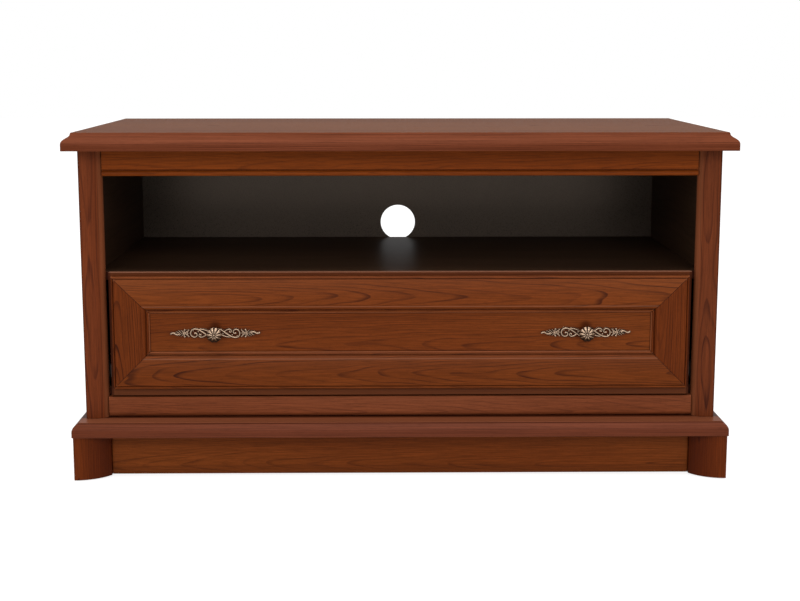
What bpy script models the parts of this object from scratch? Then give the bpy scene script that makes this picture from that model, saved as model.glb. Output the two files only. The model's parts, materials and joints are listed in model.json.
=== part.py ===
"""TV cabinet: an open niche over one wide drawer, on a moulded base with a plinth and corner feet.

Metres, +Z up. The front faces -Y, and the origin lies on the floor under the middle of the cabinet.
A setback is a distance behind the front edge of the top panel.
"""

import math

import bmesh
import bpy
from mathutils import Matrix, Vector
from mathutils.geometry import interpolate_bezier

for old in list(bpy.data.objects):
    bpy.data.objects.remove(old)

# Overall size, and the gap between pieces that touch
WIDTH = 1.200
DEPTH = 0.560
HEIGHT = 0.635
FIT = 0.0003
FRONT = -DEPTH / 2

# Top panel, with an ogee moulding on its front and both ends
TOP_THICK = 0.032
TOP_INSET = 0.0145
TOP_FILLET = 0.003
TOP_EASED = 0.0008
TOP_OGEE_DROP = 0.017

# Base plate, with a stepped ovolo on its front and both ends
BASE_THICK = 0.026
BASE_INSET = 0.0105
BASE_STEP = 0.0015
BASE_OVOLO_DROP = 0.014
BASE_SIDE_CUT = 0.001

# Heights of the carcass, from the floor up
GLIDE_THICK = 0.002
FOOT_HEIGHT = 0.0799
BASE_TO_BOTTOM = 0.0395
DRAWER_BAY = 0.200
SHELF_BOARD = 0.016
GLIDE_TOP = GLIDE_THICK + FIT
BASE_UNDER = GLIDE_TOP + FOOT_HEIGHT + FIT
BASE_TOP = BASE_UNDER + BASE_THICK
BOTTOM_UNDER = BASE_TOP + BASE_TO_BOTTOM
BOTTOM_TOP = BOTTOM_UNDER + SHELF_BOARD
SHELF_UNDER = BOTTOM_TOP + DRAWER_BAY
SHELF_TOP = SHELF_UNDER + SHELF_BOARD
TOP_UNDER = HEIGHT - TOP_THICK

# Posts on the front corners, rounded towards the niche
POST_OVERHANG = 0.021
POST_WIDTH = 0.040
POST_DEPTH = 0.0225
POST_FLAT = 0.015
POST_RETURN = 0.0025
POST_SETBACK = 0.040
POST_OUTER = WIDTH / 2 - POST_OVERHANG
POST_INNER = POST_OUTER - POST_WIDTH

# Boards behind the posts
SIDE_BOARD = 0.018
SIDE_REVEAL = 0.011
BACK_BOARD = 0.003
BACK_OVERHANG = 0.012
BACK_MARGIN = 0.001
CABLE_HOLE_RADIUS = 0.037
CABLE_HOLE_RISE = 0.0325
EDGE_ROUND = 0.0006
ARRIS_ANGLE = math.radians(30)
SIDE_INNER = POST_INNER + SIDE_REVEAL
SIDE_OUTER = SIDE_INNER + SIDE_BOARD
CARCASS_SETBACK = POST_SETBACK + POST_DEPTH + FIT
BACK_SETBACK = DEPTH - BACK_OVERHANG - BACK_BOARD
BOARD_BACK_SETBACK = BACK_SETBACK - FIT

# Rails between the posts
RAIL_THICK = 0.018
TOP_RAIL_SETBACK = 0.052
TOP_RAIL_HEIGHT = 0.048
TOP_RAIL_BEAD = 0.0095
TOP_RAIL_GROOVE = 0.0025
BOTTOM_RAIL_SETBACK = 0.050
BOTTOM_RAIL_GAP = 0.001
BOTTOM_RAIL_TURN = 0.009

# Plinth and feet
FOOT_SETBACK = 0.0024
FOOT_OVERHANG = 0.003
FOOT_WIDTH = 0.0625
FOOT_DEPTH = 0.088
FOOT_ARC_RADIUS = 0.075
REAR_FOOT_DEPTH = 0.068
PLINTH_BOARD = 0.018
PLINTH_SETBACK = 0.044
PLINTH_SIDE_INSET = 0.023
GLIDE_RADIUS = 0.012
FOOT_OUTER = WIDTH / 2 - FOOT_OVERHANG
FOOT_INNER = FOOT_OUTER - FOOT_WIDTH
REAR_SETBACK = BACK_SETBACK + BACK_BOARD

# Roller runners, in the space between a batten and the drawer side
BATTEN_PROUD = 0.002
BATTEN_MARGIN = 0.006
RUNNER_SPACE = 0.0125
RUNNER_SHEET = 0.0012
RUNNER_FLANGE = 0.010
RUNNER_HEIGHT = 0.024
RUNNER_RISE = 0.018
RUNNER_FRONT_GAP = 0.003
RUNNER_BACK_GAP = 0.032
ROLLER_RADIUS = 0.009
ROLLER_WIDTH = 0.0065
ROLLER_BORE_RADIUS = 0.0028
ROLLER_END = 0.014
FLANGE_GAP = 0.0004
BOX_DROP = 0.0025
BATTEN_FACE = POST_INNER - BATTEN_PROUD
RUNNER_WALL = BATTEN_FACE - FIT
RUNNER_BOTTOM = BOTTOM_TOP + RUNNER_RISE
RUNNER_START = CARCASS_SETBACK + RUNNER_FRONT_GAP
RUNNER_END = BOARD_BACK_SETBACK - RUNNER_BACK_GAP

# Drawer front: a board with a mitred moulded frame on it
FRONT_BOARD = 0.0125
FRONT_SIDE_GAP = 0.0065
FRONT_LOW_REVEAL = 0.002
FRAME_WIDTH = 0.0685
FRAME_THICK = 0.0092
FRAME_BEAD = 0.0042
FRAME_QUIRK = 0.0018
FRAME_INNER_MOULDING = 0.0155
FRAME_SIDE_MARGIN = 0.0043
FRAME_TOP_MARGIN = 0.007
FRAME_LOW_MARGIN = 0.0137
MITRE_GAP = 0.0002
FRONT_HALF = POST_INNER - FRONT_SIDE_GAP
FRONT_LOW = BOTTOM_UNDER + FRONT_LOW_REVEAL
FRONT_BACK_SETBACK = CARCASS_SETBACK - FIT
FRONT_FACE_SETBACK = FRONT_BACK_SETBACK - FRONT_BOARD

# Drawer box
BOX_BOARD = 0.012
BOX_HEIGHT = 0.140
BOX_BOTTOM_BOARD = 0.003
GROOVE_DEPTH = 0.005
GROOVE_RISE = 0.010
STIFFENER_WIDTH = 0.040
BOX_HALF = RUNNER_WALL - RUNNER_SPACE
BOX_INNER = BOX_HALF - BOX_BOARD
BOX_FRONT_SETBACK = FRONT_BACK_SETBACK + FIT
BOX_UNDER = RUNNER_BOTTOM - BOX_DROP
BOX_TOP = BOX_UNDER + BOX_HEIGHT
BOX_BOTTOM_UNDER = BOX_UNDER + GROOVE_RISE
BOX_BOTTOM_TOP = BOX_BOTTOM_UNDER + BOX_BOTTOM_BOARD

# Handles: a scrollwork plate, a flower knob and the screw that holds both
HANDLE_END_DISTANCE = 0.1925
HANDLE_DROP = 0.00135
PLATE_THICK = 0.0030
BOSS_RADIUS = 0.009
SCROLL_WIRE = 0.0013
SCROLL_RADIUS = 0.0088
SCROLL_REACH = 0.0385
PLATE_REACH = 0.082
COLLAR_RADIUS = 0.010
LEAF_LENGTH = 0.0104
LEAF_WIDTH = 0.0034
KNOB_RADIUS = 0.0132
KNOB_NECK_RADIUS = 0.0055
KNOB_FLARE = 0.002
KNOB_REACH = 0.0215
KNOB_PETALS = 10
SCREW_RADIUS = 0.0020
SCREW_HEAD_RADIUS = 0.0042
SCREW_HEAD = 0.0025
SCREW_CLEARANCE = 0.0003
SCREW_GRIP = 0.009
OPENING_LOW = FRONT_LOW + FRAME_LOW_MARGIN + FRAME_WIDTH
OPENING_TOP = SHELF_TOP - FRAME_TOP_MARGIN - FRAME_WIDTH
HANDLE_HEIGHT = (OPENING_LOW + OPENING_TOP) / 2 - HANDLE_DROP
HANDLE_OUT = FRONT_HALF - HANDLE_END_DISTANCE

SIDES = (("left", -1), ("right", 1))


def new_collection(name):
    made = bpy.data.collections.new(name)
    bpy.context.scene.collection.children.link(made)
    return made


PARTS = new_collection("tv_cabinet")
HELPERS = new_collection("cutters_and_blanks")


def linear(channel):
    """One 0-255 display colour channel as a linear value."""
    share = channel / 255
    return share / 12.92 if share <= 0.04045 else ((share + 0.055) / 1.055) ** 2.4


def new_material(name, display_colour, roughness, metallic=0.0):
    made = bpy.data.materials.new(name)
    made.use_nodes = True
    shader = made.node_tree.nodes["Principled BSDF"]
    shader.inputs["Base Color"].default_value = (*map(linear, display_colour), 1.0)
    shader.inputs["Roughness"].default_value = roughness
    shader.inputs["Metallic"].default_value = metallic
    return made


CHERRY = new_material("lacquered_cherry", (116, 60, 32), 0.32)
LAMINATE = new_material("dark_laminate", (52, 44, 39), 0.35)
BACK_FIBRE = new_material("dark_fibreboard", (56, 48, 43), 0.45)
SOFTWOOD = new_material("runner_batten_wood", (176, 140, 96), 0.6)
BRASS = new_material("antique_brass", (150, 126, 96), 0.35, 1.0)
STEEL = new_material("zinc_plated_steel", (176, 178, 180), 0.35, 1.0)
RUNNER_COAT = new_material("brown_coated_steel", (44, 30, 23), 0.45)
NYLON = new_material("white_nylon", (224, 222, 214), 0.45)
GLIDE_PLASTIC = new_material("brown_plastic", (48, 34, 26), 0.5)


def behind(setback):
    """World Y of a point this far behind the front edge of the top panel."""
    return FRONT + setback


def place(obj, collection, material):
    """Links an object with its material, shaded smooth except at its arrises."""
    collection.objects.link(obj)
    obj.data.materials.append(material)
    for face in obj.data.polygons:
        face.use_smooth = True
    obj.data.set_sharp_from_angle(angle=ARRIS_ANGLE)
    return obj


def as_helper(obj):
    obj.hide_render = True
    obj.display_type = "WIRE"
    return obj


def mesh_from(bm, name):
    bmesh.ops.recalc_face_normals(bm, faces=bm.faces)
    mesh = bpy.data.meshes.new(name)
    bm.to_mesh(mesh)
    bm.free()
    return mesh


def round_edges(obj):
    bevel = obj.modifiers.new("rounded_edges", "BEVEL")
    bevel.width = EDGE_ROUND
    bevel.segments = 1
    bevel.limit_method = "ANGLE"


def box(name, material, x, y, z):
    """A board between two limits on each axis, with its origin at its centre."""
    spans = (x, y, z)
    bm = bmesh.new()
    bmesh.ops.create_cube(bm, size=1.0)
    bmesh.ops.scale(bm, vec=[max(span) - min(span) for span in spans], verts=bm.verts)
    obj = bpy.data.objects.new(name, mesh_from(bm, name))
    obj.location = [sum(span) / 2 for span in spans]
    place(obj, PARTS, material)
    round_edges(obj)
    return obj


def mirrored(sign, low, high):
    """The X limits of a piece on the left (-1) or right (1) side."""
    return tuple(sorted((sign * low, sign * high)))


def signed_area(outline):
    following = outline[1:] + outline[:1]
    return sum(a[0] * b[1] - b[0] * a[1] for a, b in zip(outline, following)) / 2


def curve_mesh(curve):
    """The welded mesh of a curve, which then is removed."""
    blank = bpy.data.objects.new(curve.name, curve)
    HELPERS.objects.link(blank)
    graph = bpy.context.evaluated_depsgraph_get()
    mesh = bpy.data.meshes.new_from_object(blank.evaluated_get(graph))
    bpy.data.objects.remove(blank)
    bm = bmesh.new()
    bm.from_mesh(mesh)
    bmesh.ops.remove_doubles(bm, verts=bm.verts, dist=1e-6)
    return mesh_from(bm, curve.name)


def add_spline(curve, points, closed):
    spline = curve.splines.new("POLY")
    spline.points.add(len(points) - 1)
    for target, point in zip(spline.points, points):
        target.co = (*Vector(point).to_3d(), 1.0)
    spline.use_cyclic_u = closed


def outline_mesh(name, outlines, thickness):
    """A flat outline, with any holes after it, extruded evenly to both sides of its plane."""
    curve = bpy.data.curves.new(name, "CURVE")
    curve.dimensions = "2D"
    curve.fill_mode = "BOTH"
    curve.extrude = thickness / 2
    for outline in outlines:
        add_spline(curve, outline if signed_area(outline) > 0 else outline[::-1], True)
    return curve_mesh(curve)


def tube_mesh(name, points, radius):
    curve = bpy.data.curves.new(name, "CURVE")
    curve.dimensions = "3D"
    curve.bevel_depth = radius
    curve.bevel_resolution = 1
    curve.use_fill_caps = True
    add_spline(curve, points, False)
    return curve_mesh(curve)


# How an outline lies for a prism along each axis: (Y, Z) along X, (X, Z) along Y and (X, Y) along Z
PRISM_TURNS = {
    "X": (math.pi / 2, 0.0, math.pi / 2),
    "Y": (math.pi / 2, 0.0, 0.0),
    "Z": (0.0, 0.0, 0.0),
}


def prism(name, material, outlines, axis, span):
    """A flat outline extruded between two limits on one axis."""
    mesh = outline_mesh(name, outlines, max(span) - min(span))
    obj = bpy.data.objects.new(name, mesh)
    obj.rotation_euler = PRISM_TURNS[axis]
    obj.location["XYZ".index(axis)] = sum(span) / 2
    return place(obj, PARTS, material)


def arc(centre, radii, start, end, steps):
    """Points on part of an ellipse, with the angles in degrees."""
    points = []
    for step in range(steps + 1):
        angle = math.radians(start + (end - start) * step / steps)
        x = centre[0] + radii[0] * math.cos(angle)
        points.append((x, centre[1] + radii[1] * math.sin(angle)))
    return points


def circle(centre, radius, steps):
    return arc(centre, (radius, radius), 0, 360, steps)[:-1]


def smooth_run(start, start_handle, end_handle, end, count):
    """Points on one Bezier stretch of a profile."""
    knots = [Vector(point) for point in (start, start_handle, end_handle, end)]
    return [tuple(point) for point in interpolate_bezier(*knots, count)]


def turned(name, material, profile, collection=PARTS, steps=32):
    """A profile of (radius, height) points turned about the object's own Z axis."""
    mesh = bpy.data.meshes.new(name)
    profile = profile if signed_area(profile) < 0 else profile[::-1]
    points = [(radius, 0.0, height) for radius, height in profile]
    edges = [(i, i + 1) for i in range(len(points) - 1)]
    if profile[0][0] > 0:
        edges.append((len(points) - 1, 0))
    mesh.from_pydata(points, edges, [])
    obj = bpy.data.objects.new(name, mesh)
    screw = obj.modifiers.new("turned", "SCREW")
    screw.steps = steps
    screw.render_steps = steps
    screw.use_merge_vertices = True
    screw.merge_threshold = 1e-5
    screw.use_smooth_shade = True
    return place(obj, collection, material)


def combine(obj, other, operation):
    boolean = obj.modifiers.new(operation.lower() + "_" + other.name, "BOOLEAN")
    boolean.operation = operation
    boolean.solver = "EXACT"
    boolean.object = other


def blank_cylinder(name, radius, length, location, turn, sides=20):
    bm = bmesh.new()
    bmesh.ops.create_cone(
        bm, cap_ends=True, segments=sides, radius1=radius, radius2=radius, depth=length
    )
    obj = bpy.data.objects.new(name, mesh_from(bm, name))
    obj.location = location
    obj.rotation_euler = turn
    HELPERS.objects.link(obj)
    return as_helper(obj)


def moulded_plate(name, material, half_width, front, back, underside, profile):
    """A plate whose front and ends follow a profile of (inset, height) points. Its back stays straight."""
    def corners(inset):
        x = half_width - inset
        return ((-x, front + inset), (x, front + inset), (x, back), (-x, back))

    bm = bmesh.new()
    first_inset, first_height = profile[0]
    ring = [bm.verts.new((*corner, first_height)) for corner in corners(first_inset)]
    bottom = bm.faces.new(ring)
    face = bottom
    for inset, height in profile[1:]:
        grown = bmesh.ops.extrude_face_region(bm, geom=[face])["geom"]
        if face is not bottom:
            bm.faces.remove(face)
        face = next(item for item in grown if isinstance(item, bmesh.types.BMFace))
        for vert in face.verts:
            vert.co = (*corners(inset)[nearest_corner(vert.co, corners(0.0))], height)
    obj = bpy.data.objects.new(name, mesh_from(bm, name))
    obj.location.z = underside
    return place(obj, PARTS, material)


def nearest_corner(point, corners):
    """Which of a plate's four corners this point belongs to."""
    distances = [(Vector(corner) - point.to_2d()).length for corner in corners]
    return distances.index(min(distances))


def top_profile():
    """Straight lower edge, ogee, small fillet, flat top."""
    ogee_start = TOP_THICK - TOP_FILLET - TOP_OGEE_DROP
    ogee_end = TOP_THICK - TOP_FILLET
    ogee = smooth_run(
        (0.0, ogee_start),
        (0.0, ogee_start + 0.58 * TOP_OGEE_DROP),
        (TOP_INSET, ogee_end - 0.34 * TOP_OGEE_DROP),
        (TOP_INSET, ogee_end),
        11,
    )
    return [(0.0, 0.0), *ogee, (TOP_INSET + TOP_EASED, TOP_THICK)]


def base_profile():
    """Straight lower edge, ovolo, small step, flat top."""
    step_inset = BASE_INSET - BASE_STEP
    ovolo_end = BASE_THICK - BASE_STEP
    ovolo_start = ovolo_end - BASE_OVOLO_DROP
    ovolo = smooth_run(
        (0.0, ovolo_start),
        (0.0, ovolo_start + 0.5 * BASE_OVOLO_DROP),
        (0.6 * step_inset, ovolo_end - 0.15 * BASE_OVOLO_DROP),
        (step_inset, ovolo_end),
        8,
    )
    return [(0.0, 0.0), *ovolo, (BASE_INSET, ovolo_end), (BASE_INSET, BASE_THICK)]


def build_plates():
    back = behind(DEPTH)
    moulded_plate("top_panel", CHERRY, WIDTH / 2, FRONT, back, TOP_UNDER, top_profile())
    base_half = WIDTH / 2 - BASE_SIDE_CUT
    moulded_plate("base_plate", CHERRY, base_half, FRONT, back, BASE_UNDER, base_profile())


def post_outline(sign):
    """Flat front and outer side, with a wide elliptical rounding on the inner side."""
    front = behind(POST_SETBACK)
    back = front + POST_DEPTH
    flat_end = POST_OUTER - POST_FLAT
    rounding = (flat_end - POST_INNER, POST_DEPTH - POST_RETURN)
    ellipse_centre = (flat_end, front + rounding[1])
    points = [(POST_INNER, back), (POST_OUTER, back), (POST_OUTER, front + EDGE_ROUND)]
    points.append((POST_OUTER - EDGE_ROUND, front))
    points += arc(ellipse_centre, rounding, 270, 180, 8)
    return [(sign * x, y) for x, y in points]


def build_carcass():
    board_y = (behind(CARCASS_SETBACK), behind(BOARD_BACK_SETBACK))
    standing = (BASE_TOP + FIT, TOP_UNDER - FIT)
    between = (-SIDE_INNER + FIT, SIDE_INNER - FIT)
    for side, sign in SIDES:
        box(f"{side}_side_panel", LAMINATE, mirrored(sign, SIDE_INNER, SIDE_OUTER), board_y, standing)
        prism(f"{side}_post", CHERRY, [post_outline(sign)], "Z", standing)
    box("shelf_panel", LAMINATE, between, board_y, (SHELF_UNDER, SHELF_TOP))
    box("bottom_panel", LAMINATE, between, board_y, (BOTTOM_UNDER, BOTTOM_TOP))
    half = SIDE_OUTER - BACK_MARGIN
    low, high = standing[0] + BACK_MARGIN, standing[1] - BACK_MARGIN
    sheet = [(-half, low), (half, low), (half, high), (-half, high)]
    hole = circle((0.0, SHELF_TOP + CABLE_HOLE_RISE), CABLE_HOLE_RADIUS, 48)
    back_y = (behind(BACK_SETBACK), behind(BACK_SETBACK + BACK_BOARD))
    prism("back_panel", BACK_FIBRE, [sheet, hole], "Y", back_y)


def top_rail_outline():
    """Flat frieze with a groove and a bead along its lower edge."""
    face = behind(TOP_RAIL_SETBACK)
    back = face + RAIL_THICK
    top = TOP_UNDER - FIT
    low = TOP_UNDER - TOP_RAIL_HEIGHT
    bead = TOP_RAIL_BEAD / 2
    groove_low = low + TOP_RAIL_BEAD
    groove_high = groove_low + TOP_RAIL_GROOVE
    points = [(back, low), (back, top), (face, top), (face, groove_high)]
    points.append((face + TOP_RAIL_GROOVE, groove_high))
    return points + arc((face + TOP_RAIL_GROOVE, low + bead), (bead, bead), 90, 270, 8)


def bottom_rail_outline():
    """Flat rail that turns under towards the base plate, with an eased upper edge."""
    face = behind(BOTTOM_RAIL_SETBACK)
    back = face + RAIL_THICK
    top = BOTTOM_UNDER - BOTTOM_RAIL_GAP
    low = BASE_TOP + FIT
    turn = (BOTTOM_RAIL_TURN, BOTTOM_RAIL_TURN)
    eased = BOTTOM_RAIL_TURN / 6
    points = [(back, low), (back, top), (face + eased, top), (face, top - eased)]
    return points + arc((face + turn[0], low + turn[1]), turn, 180, 250, 6)


def build_rails():
    between = (-POST_INNER + FIT, POST_INNER - FIT)
    prism("top_rail", CHERRY, [top_rail_outline()], "X", between)
    prism("bottom_rail", CHERRY, [bottom_rail_outline()], "X", between)


def front_foot_outline(sign):
    """Square at the outer front corner, with a convex face that falls back towards the middle."""
    front = behind(FOOT_SETBACK)
    back = front + FOOT_DEPTH
    sweep = math.degrees(math.asin(FOOT_WIDTH / FOOT_ARC_RADIUS))
    radii = (FOOT_ARC_RADIUS, FOOT_ARC_RADIUS)
    face = arc((FOOT_OUTER, front + FOOT_ARC_RADIUS), radii, 270, 270 - sweep, 10)
    points = [(FOOT_INNER, back), (FOOT_OUTER, back), *face]
    return [(sign * x, y) for x, y in points]


def build_plinth():
    upright = (GLIDE_TOP, BASE_UNDER - FIT)
    rear_foot = (behind(REAR_SETBACK - REAR_FOOT_DEPTH), behind(REAR_SETBACK))
    front_board = (behind(PLINTH_SETBACK), behind(PLINTH_SETBACK + PLINTH_BOARD))
    rear_board = (behind(REAR_SETBACK - PLINTH_BOARD), behind(REAR_SETBACK))
    side_y = (behind(FOOT_SETBACK + FOOT_DEPTH) + FIT, rear_foot[0] - FIT)
    between = (-FOOT_INNER + FIT, FOOT_INNER - FIT)
    side_outer = FOOT_OUTER - PLINTH_SIDE_INSET
    for side, sign in SIDES:
        prism(f"{side}_front_foot", CHERRY, [front_foot_outline(sign)], "Z", upright)
        foot_x = mirrored(sign, FOOT_INNER, FOOT_OUTER)
        box(f"{side}_rear_foot", CHERRY, foot_x, rear_foot, upright)
        side_x = mirrored(sign, side_outer - PLINTH_BOARD, side_outer)
        box(f"plinth_{side}_board", CHERRY, side_x, side_y, upright)
        foot_middle = sign * (FOOT_INNER + FOOT_OUTER) / 2
        add_glide(f"{side}_front_glide", foot_middle, behind(FOOT_SETBACK + FOOT_DEPTH * 0.6))
        add_glide(f"{side}_rear_glide", foot_middle, sum(rear_foot) / 2)
    box("plinth_front_board", CHERRY, between, front_board, upright)
    box("plinth_rear_board", CHERRY, between, rear_board, upright)
    brace_x = (-PLINTH_BOARD / 2, PLINTH_BOARD / 2)
    brace_y = (front_board[1] + FIT, rear_board[0] - FIT)
    box("plinth_centre_brace", CHERRY, brace_x, brace_y, upright)


def add_glide(name, x, y):
    """A round plastic glide with an eased lower rim."""
    eased = GLIDE_THICK / 3
    profile = [(0.0, 0.0), (GLIDE_RADIUS - eased, 0.0), (GLIDE_RADIUS, eased)]
    profile += [(GLIDE_RADIUS, GLIDE_THICK), (0.0, GLIDE_THICK)]
    turned(name, GLIDE_PLASTIC, profile, steps=24).location = (x, y, 0.0)


def runner_section(sign, points):
    """A runner outline from (distance in from the batten, height above the runner's underside)."""
    return [(sign * (RUNNER_WALL - inward), RUNNER_BOTTOM + rise) for inward, rise in points]


def cabinet_runner_outline(sign):
    """A channel that opens towards the drawer."""
    sheet, flange, high = RUNNER_SHEET, RUNNER_FLANGE, RUNNER_HEIGHT
    return runner_section(
        sign,
        [
            (0.0, 0.0), (flange, 0.0), (flange, sheet), (sheet, sheet),
            (sheet, high - sheet), (flange, high - sheet), (flange, high), (0.0, high),
        ],
    )


def drawer_runner_heights():
    """Heights of the drawer runner's lower and upper flange above the cabinet runner's underside."""
    upper_top = RUNNER_HEIGHT - RUNNER_SHEET - FLANGE_GAP
    lower_top = BOX_UNDER - FIT - RUNNER_BOTTOM
    return lower_top - RUNNER_SHEET, lower_top, upper_top - RUNNER_SHEET, upper_top


def drawer_runner_outline(sign):
    """A Z that carries the drawer side below and reaches over the cabinet roller above."""
    low, low_top, high, high_top = drawer_runner_heights()
    web_out = RUNNER_SPACE - FIT - RUNNER_SHEET
    web_in = RUNNER_SPACE - FIT
    under = web_out + BOX_BOARD
    reach = RUNNER_SPACE - RUNNER_FLANGE
    return runner_section(
        sign,
        [
            (web_out, low), (under, low), (under, low_top), (web_in, low_top),
            (web_in, high_top), (reach, high_top), (reach, high), (web_out, high),
        ],
    )


def add_roller(name, sign, inner_side, setback, height):
    """A nylon roller with a rounded tread and a bore, turning about X."""
    half = ROLLER_WIDTH / 2
    eased = ROLLER_WIDTH / 6
    profile = [(ROLLER_BORE_RADIUS, -half), (ROLLER_RADIUS - eased, -half)]
    profile += [(ROLLER_RADIUS, eased - half), (ROLLER_RADIUS, half - eased)]
    profile += [(ROLLER_RADIUS - eased, half), (ROLLER_BORE_RADIUS, half)]
    roller = turned(name, NYLON, profile, steps=28)
    roller.rotation_euler = (0.0, math.pi / 2, 0.0)
    roller.location = (sign * (inner_side + half), behind(setback), height)
    return roller


def add_stud(runner, sign, wall, free_end, setback, height):
    """The riveted stud that a roller turns on, joined to its runner."""
    length = abs(wall - free_end)
    centre = (sign * (wall + free_end) / 2, behind(setback), height)
    turn = (0.0, math.pi / 2, 0.0)
    radius = ROLLER_BORE_RADIUS - FIT
    stud = blank_cylinder(runner.name + "_stud", radius, length, centre, turn)
    combine(runner, stud, "UNION")


def build_runners(drawer):
    runner_y = (behind(RUNNER_START), behind(RUNNER_END))
    batten_y = (behind(CARCASS_SETBACK + FIT), behind(BOARD_BACK_SETBACK) - FIT)
    batten_z = (RUNNER_BOTTOM - BATTEN_MARGIN, RUNNER_BOTTOM + RUNNER_HEIGHT + BATTEN_MARGIN)
    front_roller = RUNNER_START + ROLLER_END
    rear_roller = RUNNER_END - ROLLER_END
    flange_under = RUNNER_BOTTOM + drawer_runner_heights()[2]
    front_height = flange_under - FIT - ROLLER_RADIUS
    rear_height = RUNNER_BOTTOM + RUNNER_SHEET + FIT + ROLLER_RADIUS
    sheet_inner = RUNNER_WALL - RUNNER_SHEET
    web_outer = BOX_HALF + FIT + RUNNER_SHEET
    roller_inner = (sheet_inner + web_outer - ROLLER_WIDTH) / 2
    for side, sign in SIDES:
        batten_x = mirrored(sign, BATTEN_FACE, SIDE_INNER - FIT)
        box(f"{side}_runner_batten", SOFTWOOD, batten_x, batten_y, batten_z)
        fixed = prism(
            f"{side}_cabinet_runner", RUNNER_COAT, [cabinet_runner_outline(sign)], "Y", runner_y
        )
        stud_end = roller_inner
        add_stud(fixed, sign, sheet_inner + RUNNER_SHEET / 2, stud_end, front_roller, front_height)
        add_roller(f"{side}_cabinet_roller", sign, roller_inner, front_roller, front_height)
        sliding = prism(
            f"{side}_drawer_runner", RUNNER_COAT, [drawer_runner_outline(sign)], "Y", runner_y
        )
        stud_end = roller_inner + ROLLER_WIDTH
        add_stud(sliding, sign, web_outer - RUNNER_SHEET / 2, stud_end, rear_roller, rear_height)
        rolling = add_roller(f"{side}_drawer_roller", sign, roller_inner, rear_roller, rear_height)
        ride_on(drawer, sliding, rolling)


def ride_on(carrier, *pieces):
    """Parents pieces to an empty and leaves them where they are."""
    for piece in pieces:
        piece.parent = carrier
        piece.matrix_parent_inverse = Matrix.Translation(-carrier.location)


def frame_profile():
    """Section of the drawer frame: distance in from its outer edge, height above the front board."""
    thick, inner, moulding = FRAME_THICK, FRAME_WIDTH, FRAME_INNER_MOULDING
    outer = FRAME_BEAD / 2
    points = [(0.0, 0.0), *arc((outer, thick - outer), (outer, outer), 180, 0, 6)]
    points += [(FRAME_BEAD + 0.3 * FRAME_QUIRK, thick - outer), (FRAME_BEAD + FRAME_QUIRK, thick)]
    flat_end = inner - moulding
    ovolo_start = (flat_end + 0.08 * moulding, 0.9 * thick)
    ovolo_end = (inner - 0.46 * moulding, 0.46 * thick)
    points += [(flat_end, thick), (flat_end + 0.04 * moulding, ovolo_start[1])]
    points += smooth_run(
        ovolo_start,
        (ovolo_start[0] + 0.24 * moulding, ovolo_start[1]),
        (ovolo_end[0], ovolo_end[1] + 0.24 * thick),
        ovolo_end,
        6,
    )
    groove = 0.26 * thick
    points += [(inner - 0.44 * moulding, groove), (inner - 0.36 * moulding, groove)]
    bead = 0.10 * moulding
    points += arc((inner - 0.22 * moulding, 0.30 * thick), (bead, bead), 180, 0, 6)
    edge = 0.12 * thick
    return points + [(inner - 0.10 * moulding, edge), (inner, edge), (inner, 0.0)]


def mitred_bar(name, length, turn, location):
    """A length of frame moulding along X with both ends mitred, turned about the drawer front's normal."""
    bm = bmesh.new()
    section = [bm.verts.new((0.0, inward, height)) for inward, height in frame_profile()]
    grown = bmesh.ops.extrude_face_region(bm, geom=[bm.faces.new(section)])["geom"]
    far = {item for item in grown if isinstance(item, bmesh.types.BMVert)}
    for vert in bm.verts:
        end = length / 2 - vert.co.y - MITRE_GAP
        vert.co.x = end if vert in far else -end
    obj = bpy.data.objects.new(name, mesh_from(bm, name))
    obj.rotation_euler = (math.pi / 2, math.radians(turn), 0.0)
    obj.location = location
    return place(obj, PARTS, CHERRY)


def build_drawer_front(drawer):
    back, face = behind(FRONT_BACK_SETBACK), behind(FRONT_FACE_SETBACK)
    board_z = (FRONT_LOW, SHELF_TOP)
    board = box("drawer_front_board", CHERRY, (-FRONT_HALF, FRONT_HALF), (face, back), board_z)
    for side, sign in SIDES:
        hole = blank_cylinder(
            f"{side}_handle_hole",
            SCREW_RADIUS + SCREW_CLEARANCE,
            3 * FRONT_BOARD,
            (sign * HANDLE_OUT, (face + back) / 2, HANDLE_HEIGHT),
            (math.pi / 2, 0.0, 0.0),
        )
        combine(board, hole, "DIFFERENCE")
    half = FRONT_HALF - FRAME_SIDE_MARGIN
    low = FRONT_LOW + FRAME_LOW_MARGIN
    high = SHELF_TOP - FRAME_TOP_MARGIN
    seat = face - FIT
    middle = (low + high) / 2
    frame = [
        mitred_bar("drawer_frame_bottom", 2 * half, 0, (0.0, seat, low)),
        mitred_bar("drawer_frame_top", 2 * half, 180, (0.0, seat, high)),
        mitred_bar("drawer_frame_left", high - low, 90, (-half, seat, middle)),
        mitred_bar("drawer_frame_right", high - low, -90, (half, seat, middle)),
    ]
    ride_on(drawer, board, *frame)


def drawer_side_outline(sign):
    """Section of a drawer side, grooved for the drawer bottom."""
    low, high = BOX_BOTTOM_UNDER - FIT, BOX_BOTTOM_TOP + FIT
    groove = BOX_INNER + GROOVE_DEPTH
    points = [
        (BOX_INNER, BOX_UNDER), (BOX_HALF, BOX_UNDER), (BOX_HALF, BOX_TOP), (BOX_INNER, BOX_TOP),
        (BOX_INNER, high), (groove, high), (groove, low), (BOX_INNER, low),
    ]
    return [(sign * x, z) for x, z in points]


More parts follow.
